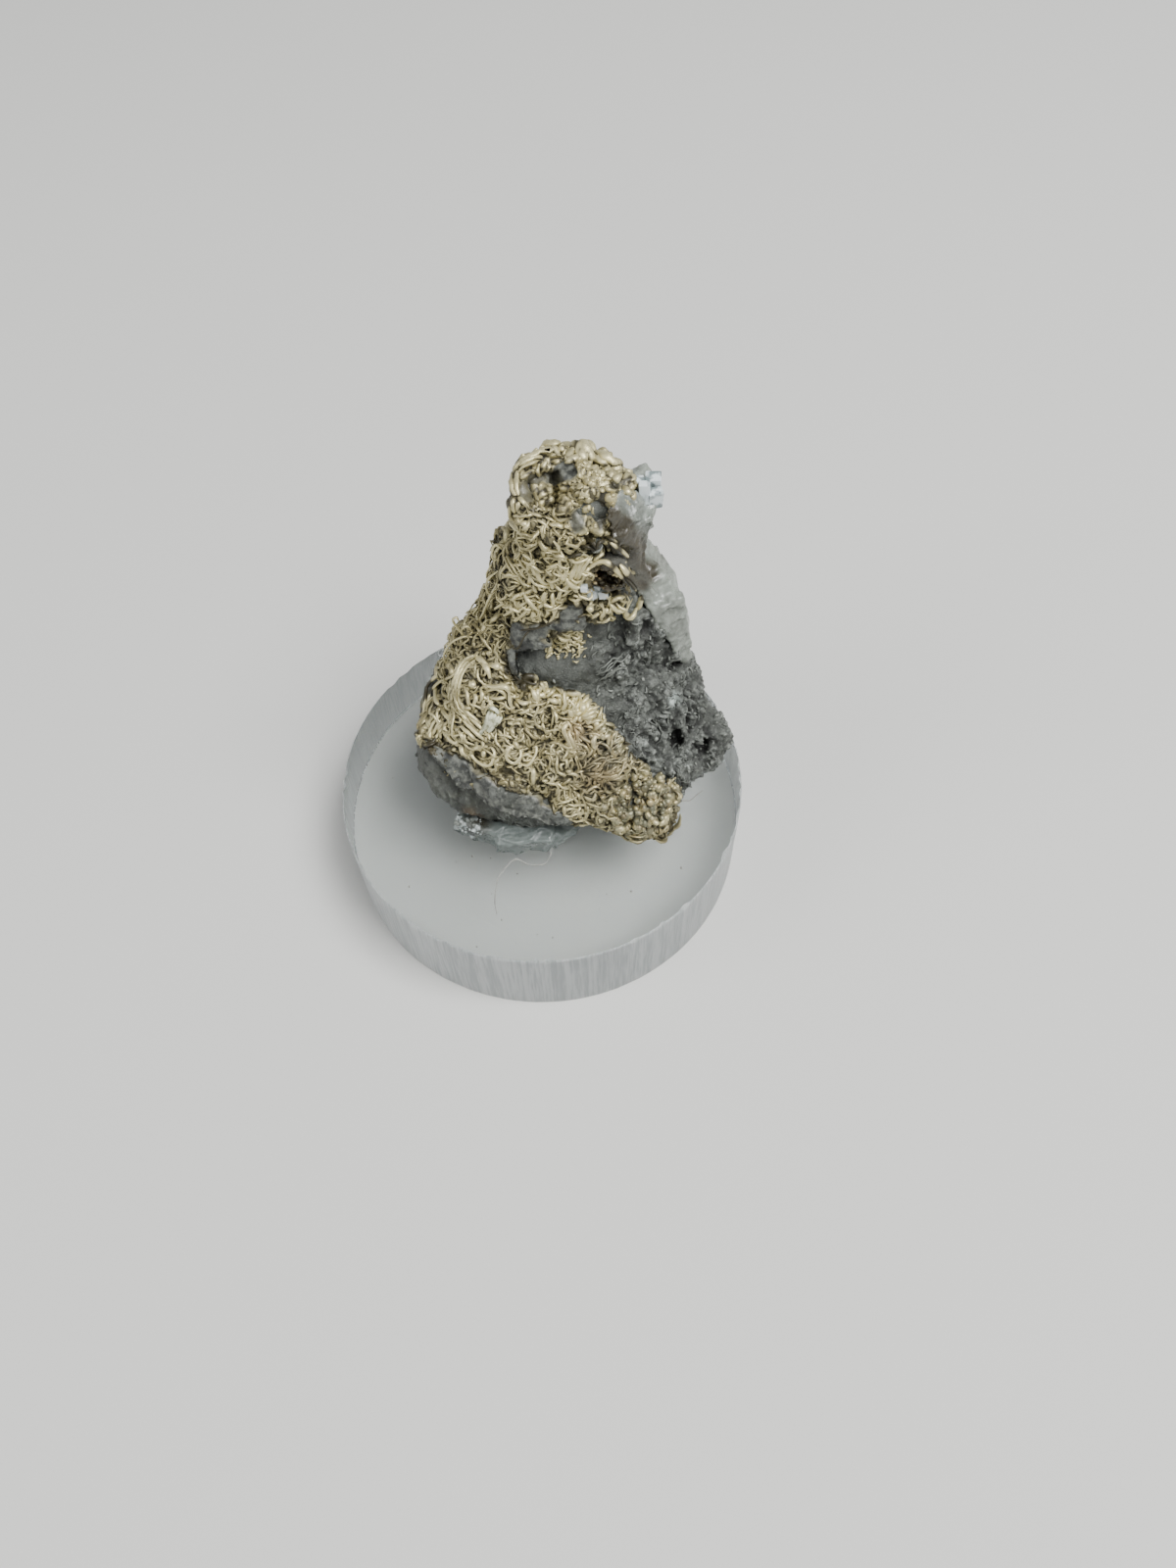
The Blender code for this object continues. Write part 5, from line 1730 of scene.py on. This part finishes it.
class SPECIMEN_OT_calcite(bpy.types.Operator):
    """Make the cleaved calcite of the ridge and of the foot, with its druse"""
    bl_idname = "specimen.calcite"
    bl_label = "Calcite"

    def execute(self, context):
        ridge = halved(cad_mesh("calcite_ridge"), SHOULDER_PLACE, SHOULDER_NORMAL)
        ridge = remeshed(joined([ridge, block(UPPER_BLOCK)]), FINENESS["ridge"], 2)
        ridge = pushed(ridge, cleaved)
        store(ridge, "stain", [stain_and_shade_share(vertex.co) for vertex in ridge.vertices])
        made_skins["calcite"] = Skin(ridge)
        stained = calcite("ridge_calcite", RIDGE_STAINS)
        finished("ridge_calcite", held_in(ridge), [stained], ["calcite_ridge"])
        foot = pushed(remeshed(cad_mesh("calcite_foot"), FINENESS["foot"], 2), cleaved)
        set_down(foot)
        druse = foot.copy()
        stains = (((-4.6, -3.8, 1.6), 1.8, 0.5), ((-3.9, -3.9, 1.9), 1.2, 0.9))
        bluish = calcite("foot_calcite", stains, 0.75)
        finished("foot_calcite", held_in(foot), [bluish], ["calcite_foot"])
        places = [vertex.co for vertex in druse.vertices]
        store(druse, "grow", [
            ramp(p.x, -3.4, -4.6) * ramp(p.z, 0.2, 0.7) * ramp(noise.noise(p * 2.1), -0.3, 0.1)
            for p in places])
        white = white_crystal("druse_crystals", (0.62, 0.68, 0.66), (0.22, 0.24, 0.21))
        grains = grown(druse, scatter_tree("block"), Spacing=0.15, Density=30.0, Smallest=0.05,
                       Largest=0.18, Flatness=0.9, Unevenness=0.1, Seed=3, Material=white)
        finished("foot_druse", held_in(grains), [white], smooth=False)
        return {"FINISHED"}


# White cubes in the neck's hollow, in the front view: across, down and edge
VUG_CUBES = (
    (600, 602, 0.52), (606, 602, 0.5), (610, 599, 0.36), (603, 608, 0.36), (616, 605, 0.5),
    (596, 600, 0.34), (607, 607, 0.34),
)


class SPECIMEN_OT_vug(bpy.types.Operator):
    """Make the bluish white cubes in the small hollow of the neck and at the calcite's tip"""
    bl_idname = "specimen.vug"
    bl_label = "White crystals"

    def execute(self, context):
        rng = random.Random(SEEDS["crystals"])
        skins = (made_skins["felt"], made_skins["rock"], made_skins["calcite"])
        cubes = []
        for across, down, edge in VUG_CUBES:
            place = traced(skins, ((across, down), (across + 0.5, down)), 1.1)[0]
            cubes.append((place, (edge, edge, edge)))
        glassy = white_crystal("vug_crystals", (0.90, 0.97, 0.97), (0.72, 0.80, 0.78))
        self.crystals("vug_cubes", cubes, rng, 0.9, glassy, ["vug_crystals"])
        tip = white_crystal("white_crystals", (0.84, 0.92, 0.93), (0.20, 0.25, 0.25))
        self.crystals("tip_crystals", TIP_BLOCKS, rng, 0.3, tip, ())
        return {"FINISHED"}

    @staticmethod
    def crystals(name, rows, rng, tumble, material, replaced):
        """Blocks with broken edges, each turned by chance."""
        bm = bmesh.new()
        for place, size in rows:
            made = bmesh.ops.create_cube(bm, size=1.0)["verts"]
            bmesh.ops.scale(bm, vec=size, verts=made)
            turn = Matrix.Rotation(rng.uniform(-tumble, tumble), 3, (rng.random(), rng.random(), 1))
            bmesh.ops.rotate(bm, cent=(0, 0, 0), matrix=turn, verts=made)
            bmesh.ops.translate(bm, vec=place, verts=made)
        bmesh.ops.bevel(bm, geom=bm.edges, offset=0.03, segments=1, affect="EDGES")
        finished(name, mesh_of(bm, name), [material], replaced, smooth=False)


# The rings of the base's outline where its top face ends and where its side wall begins, how many
# the wall has, and how far in the innermost one lies
EDGE_RING, WALL_RING = 2, 3
WALL_RINGS = 14
INSET = 1.1

# The angle from which an edge of the base looks sharp
SHARP = math.radians(32)


def rim_rings(look):
    """The base's outline from its top face round to its underside, as radius and height."""
    chamfer = look.chamfer / MM
    wall = np.linspace(-chamfer * 1.2, -BASE_DEPTH + chamfer, WALL_RINGS)
    rings = [(BASE_RADIUS - INSET, 0.0), (BASE_RADIUS - 0.5, 0.0), (BASE_RADIUS - chamfer, 0.0)]
    rings += [(BASE_RADIUS, height) for height in wall]
    return rings + [(BASE_RADIUS - chamfer, -BASE_DEPTH), (BASE_RADIUS - INSET, -BASE_DEPTH)]


class SPECIMEN_OT_base(bpy.types.Operator):
    """Make the clear base with its sawn side wall and chipped rim"""
    bl_idname = "specimen.base"
    bl_label = "Clear base"

    def execute(self, context):
        look = settings().base
        rng = random.Random(SEEDS["base"])
        angles = np.linspace(0, 2 * math.pi, look.segments, endpoint=False)
        deep = look.saw_depth / MM
        chips = np.zeros(look.segments)
        for _ in range(look.chips):
            gap = np.abs((angles - rng.uniform(0, 2 * math.pi) + math.pi) % (2 * math.pi) - math.pi)
            width = rng.uniform(0.25, 1.0) * look.chip_size / MM / BASE_RADIUS
            share = np.clip(1 - gap / width, 0, 1)
            chips = np.maximum(chips, share ** 0.6 * rng.uniform(0.04, 0.16))
        rings = rim_rings(look)
        rows = []
        for number, (radius, height) in enumerate(rings):
            row = []
            for angle, chip in zip(angles, chips):
                reach, level = radius, height
                if number == EDGE_RING:
                    reach -= chip
                if number == WALL_RING:
                    level -= chip * 1.3
                if WALL_RING <= number < len(rings) - 2:
                    spot = Vector((math.cos(angle) * 26, math.sin(angle) * 26, height * 0.12))
                    coarse = noise.noise(spot * 0.35)
                    reach -= deep * (0.5 + 0.5 * noise.noise(spot) + 0.4 * max(0.0, coarse))
                    if number == WALL_RING:
                        reach -= chip * 0.25
                row.append((reach * math.sin(angle), -reach * math.cos(angle), level))
            rows.append(row)
        mesh = self.skinned(rows, look.segments)
        finished("clear_base", mesh, [polished_plastic(), sawn_plastic()],
                 ["acrylic_disc"])
        mesh.set_sharp_from_angle(angle=SHARP)
        return {"FINISHED"}

    @staticmethod
    def skinned(rows, segments):
        """Join rings of points into one closed skin, its side wall in the second finish."""
        bm = bmesh.new()
        rings = [[bm.verts.new(point) for point in row] for row in rows]
        last = len(rings) - 1
        for number, (upper, lower) in enumerate(zip(rings, rings[1:])):
            for step in range(segments):
                after = (step + 1) % segments
                face = bm.faces.new((upper[step], lower[step], lower[after], upper[after]))
                face.material_index = 1 if EDGE_RING <= number < last - 1 else 0
        bm.faces.new(rings[0])
        bm.faces.new(rings[-1][::-1])
        bmesh.ops.recalc_face_normals(bm, faces=bm.faces)
        return mesh_of(bm, "base")


# How many dust specks lie on the base, and how far out
DUST_COUNT = 70
DUST_REACH = 12.0

# Two lint fibres that lie on the base, and the largest dust specks, as places on its top face
LINT = (
    ((-3.39, -9.32), (-3.45, -8.5), (-3.25, -7.3), (-2.95, -6.6), (-2.3, -5.95), (-1.9, -5.9),
     (-1.45, -6.1), (-1.1, -6.33), (-0.7, -6.43), (-0.3, -6.25), (0.0, -5.95), (0.2, -5.5)),
    ((7.7, -3.15), (8.1, -3.02), (8.6, -2.86), (9.1, -2.72), (9.6, -2.42), (10.0, -2.22)),
)
SPECKS = ((-4.66, -11.3), (4.71, -8.65), (3.23, -8.7), (-0.21, -11.17), (-2.37, -11.3), (-3.12, -9.73),
          (-8.53, -6.97), (7.9, -7.39), (-4.67, -5.28), (-2.0, -6.77))


class SPECIMEN_OT_dust(bpy.types.Operator):
    """Lay the lint fibres and the dust specks on the base"""
    bl_idname = "specimen.dust"
    bl_label = "Lint and dust"

    def execute(self, context):
        rng = random.Random(SEEDS["dust"])
        bundle = Bundle()
        for places in LINT:
            corners = [(x, y, 0.05 + 0.12 * (n % 3)) for n, (x, y) in enumerate(places)]
            bundle.add(smooth_line(corners, 40), 1.0, 0.5)
        material = matt("lint", (0.42, 0.41, 0.37), (0.25, 0.245, 0.22))
        laid("lint_fibres", bundle, None, material, 0.03, 0.3, None, seed=5, radius=0.034 * MM)
        bm = bmesh.new()
        places = list(SPECKS)
        while len(places) < DUST_COUNT:
            angle, reach = rng.uniform(0, 2 * math.pi), DUST_REACH * math.sqrt(rng.random())
            places.append((reach * math.sin(angle), reach * math.cos(angle)))
        for number, (x, y) in enumerate(places):
            size = rng.uniform(0.05, 0.085) if number < len(SPECKS) else rng.uniform(0.015, 0.04)
            made = bmesh.ops.create_icosphere(bm, subdivisions=1, radius=size)["verts"]
            bmesh.ops.scale(bm, vec=[rng.uniform(0.6, 1.6) for _ in range(3)], verts=made)
            bmesh.ops.translate(bm, vec=(x, y, size), verts=made)
        finished("dust_specks", held_in(mesh_of(bm, "dust")), [material])
        return {"FINISHED"}


# The stage in metres: half the floor's width and its level, and the places and size of the lights
FLOOR_HALF = 3.0
FLOOR_LEVEL = -0.02 * MM
LIGHTS = (("key", (0.17, -0.11, 0.40)), ("fill", (-0.36, -0.10, 0.24)))
LIGHT_SIZE = 0.22
SKY_COLOUR = (0.93, 0.95, 1.0, 1.0)


class SPECIMEN_OT_stage(bpy.types.Operator):
    """Set the pale floor, the soft lights and the camera"""
    bl_idname = "specimen.stage"
    bl_label = "Stage"

    def execute(self, context):
        look = settings().stage
        mesh = bpy.data.meshes.new("floor")
        corners = [(x * FLOOR_HALF, y * FLOOR_HALF, FLOOR_LEVEL)
                   for x, y in ((-1, -1), (1, -1), (1, 1), (-1, 1))]
        mesh.from_pydata(corners, [], [(0, 1, 2, 3)])
        net = Finish("floor_paper")
        shade = net.mix(net.noise(0.02, 3.0), colour(look.floor), tuple(c * 0.97 for c in look.floor))
        mesh.materials.append(net.surface(Base_Color=shade, Roughness=0.9))
        floor = bpy.data.objects.new("floor", mesh)
        context.scene.collection.objects.link(floor)
        world = bpy.data.worlds.new("studio")
        world.use_nodes = True
        back = world.node_tree.nodes["Background"]
        back.inputs["Color"].default_value = SKY_COLOUR
        back.inputs["Strength"].default_value = look.sky
        context.scene.world = world
        for name, place in LIGHTS:
            self.softbox(name, place, getattr(look, name))
        self.camera(context)
        return {"FINISHED"}

    @staticmethod
    def softbox(name, place, power):
        """A square soft light that faces the specimen."""
        lamp = bpy.data.lights.new(name, "AREA")
        lamp.size = LIGHT_SIZE
        lamp.energy = power
        made = bpy.data.objects.new(name, lamp)
        bpy.context.scene.collection.objects.link(made)
        made.location = place
        aim = Vector((0, 0, TOP)) - Vector(place)
        made.rotation_euler = aim.to_track_quat("-Z", "Y").to_euler()

    @staticmethod
    def camera(context):
        """The camera at the photograph's angle."""
        data = bpy.data.cameras.new("camera")
        data.lens = CAMERA_LENS
        data.sensor_width = CAMERA_SENSOR
        data.clip_start = 0.001
        made = bpy.data.objects.new("camera", data)
        context.scene.collection.objects.link(made)
        turn = Matrix((RIGHT, UP, -AHEAD)).transposed().to_4x4()
        made.matrix_world = Matrix.Translation(EYE * MM + Vector((0, 0, TOP))) @ turn
        context.scene.camera = made


class SPECIMEN_PT_panel(bpy.types.Panel):
    """Lists the specimen's pieces in the sidebar"""
    bl_label = "Native silver specimen"
    bl_idname = "SPECIMEN_PT_panel"
    bl_space_type = "VIEW_3D"
    bl_region_type = "UI"
    bl_category = "Specimen"

    def draw(self, context):
        for operator in OPERATORS:
            self.layout.operator(operator.bl_idname)
        for group in GROUPS:
            box = self.layout.box()
            box.label(text=group.title())
            part = getattr(context.scene.specimen, group)
            for name in part.__annotations__:
                box.prop(part, name)


GROUPS = ("base", "rock", "silver", "calcite", "stage")
OPERATORS = (
    SPECIMEN_OT_stage, SPECIMEN_OT_base, SPECIMEN_OT_rock, SPECIMEN_OT_felt, SPECIMEN_OT_neck_wires,
    SPECIMEN_OT_belly_wires, SPECIMEN_OT_flank_wires, SPECIMEN_OT_calcite, SPECIMEN_OT_curls,
    SPECIMEN_OT_crown, SPECIMEN_OT_vug, SPECIMEN_OT_dust,
)
CLASSES = (
    BaseSettings, RockSettings, SilverSettings, CalciteSettings, StageSettings, SpecimenSettings,
    *OPERATORS, SPECIMEN_PT_panel,
)


def register():
    """Make the settings, operators and panel known."""
    for kind in CLASSES:
        bpy.utils.register_class(kind)
    bpy.types.Scene.specimen = PointerProperty(type=SpecimenSettings)


def unregister():
    """Take the settings, operators and panel away again."""
    del bpy.types.Scene.specimen
    for kind in reversed(CLASSES):
        bpy.utils.unregister_class(kind)


def main():
    """Build every piece in order."""
    register()
    for operator in OPERATORS:
        group, name = operator.bl_idname.split(".")
        getattr(getattr(bpy.ops, group), name)()
    bpy.context.view_layer.update()


if __name__ == "__main__":
    main()
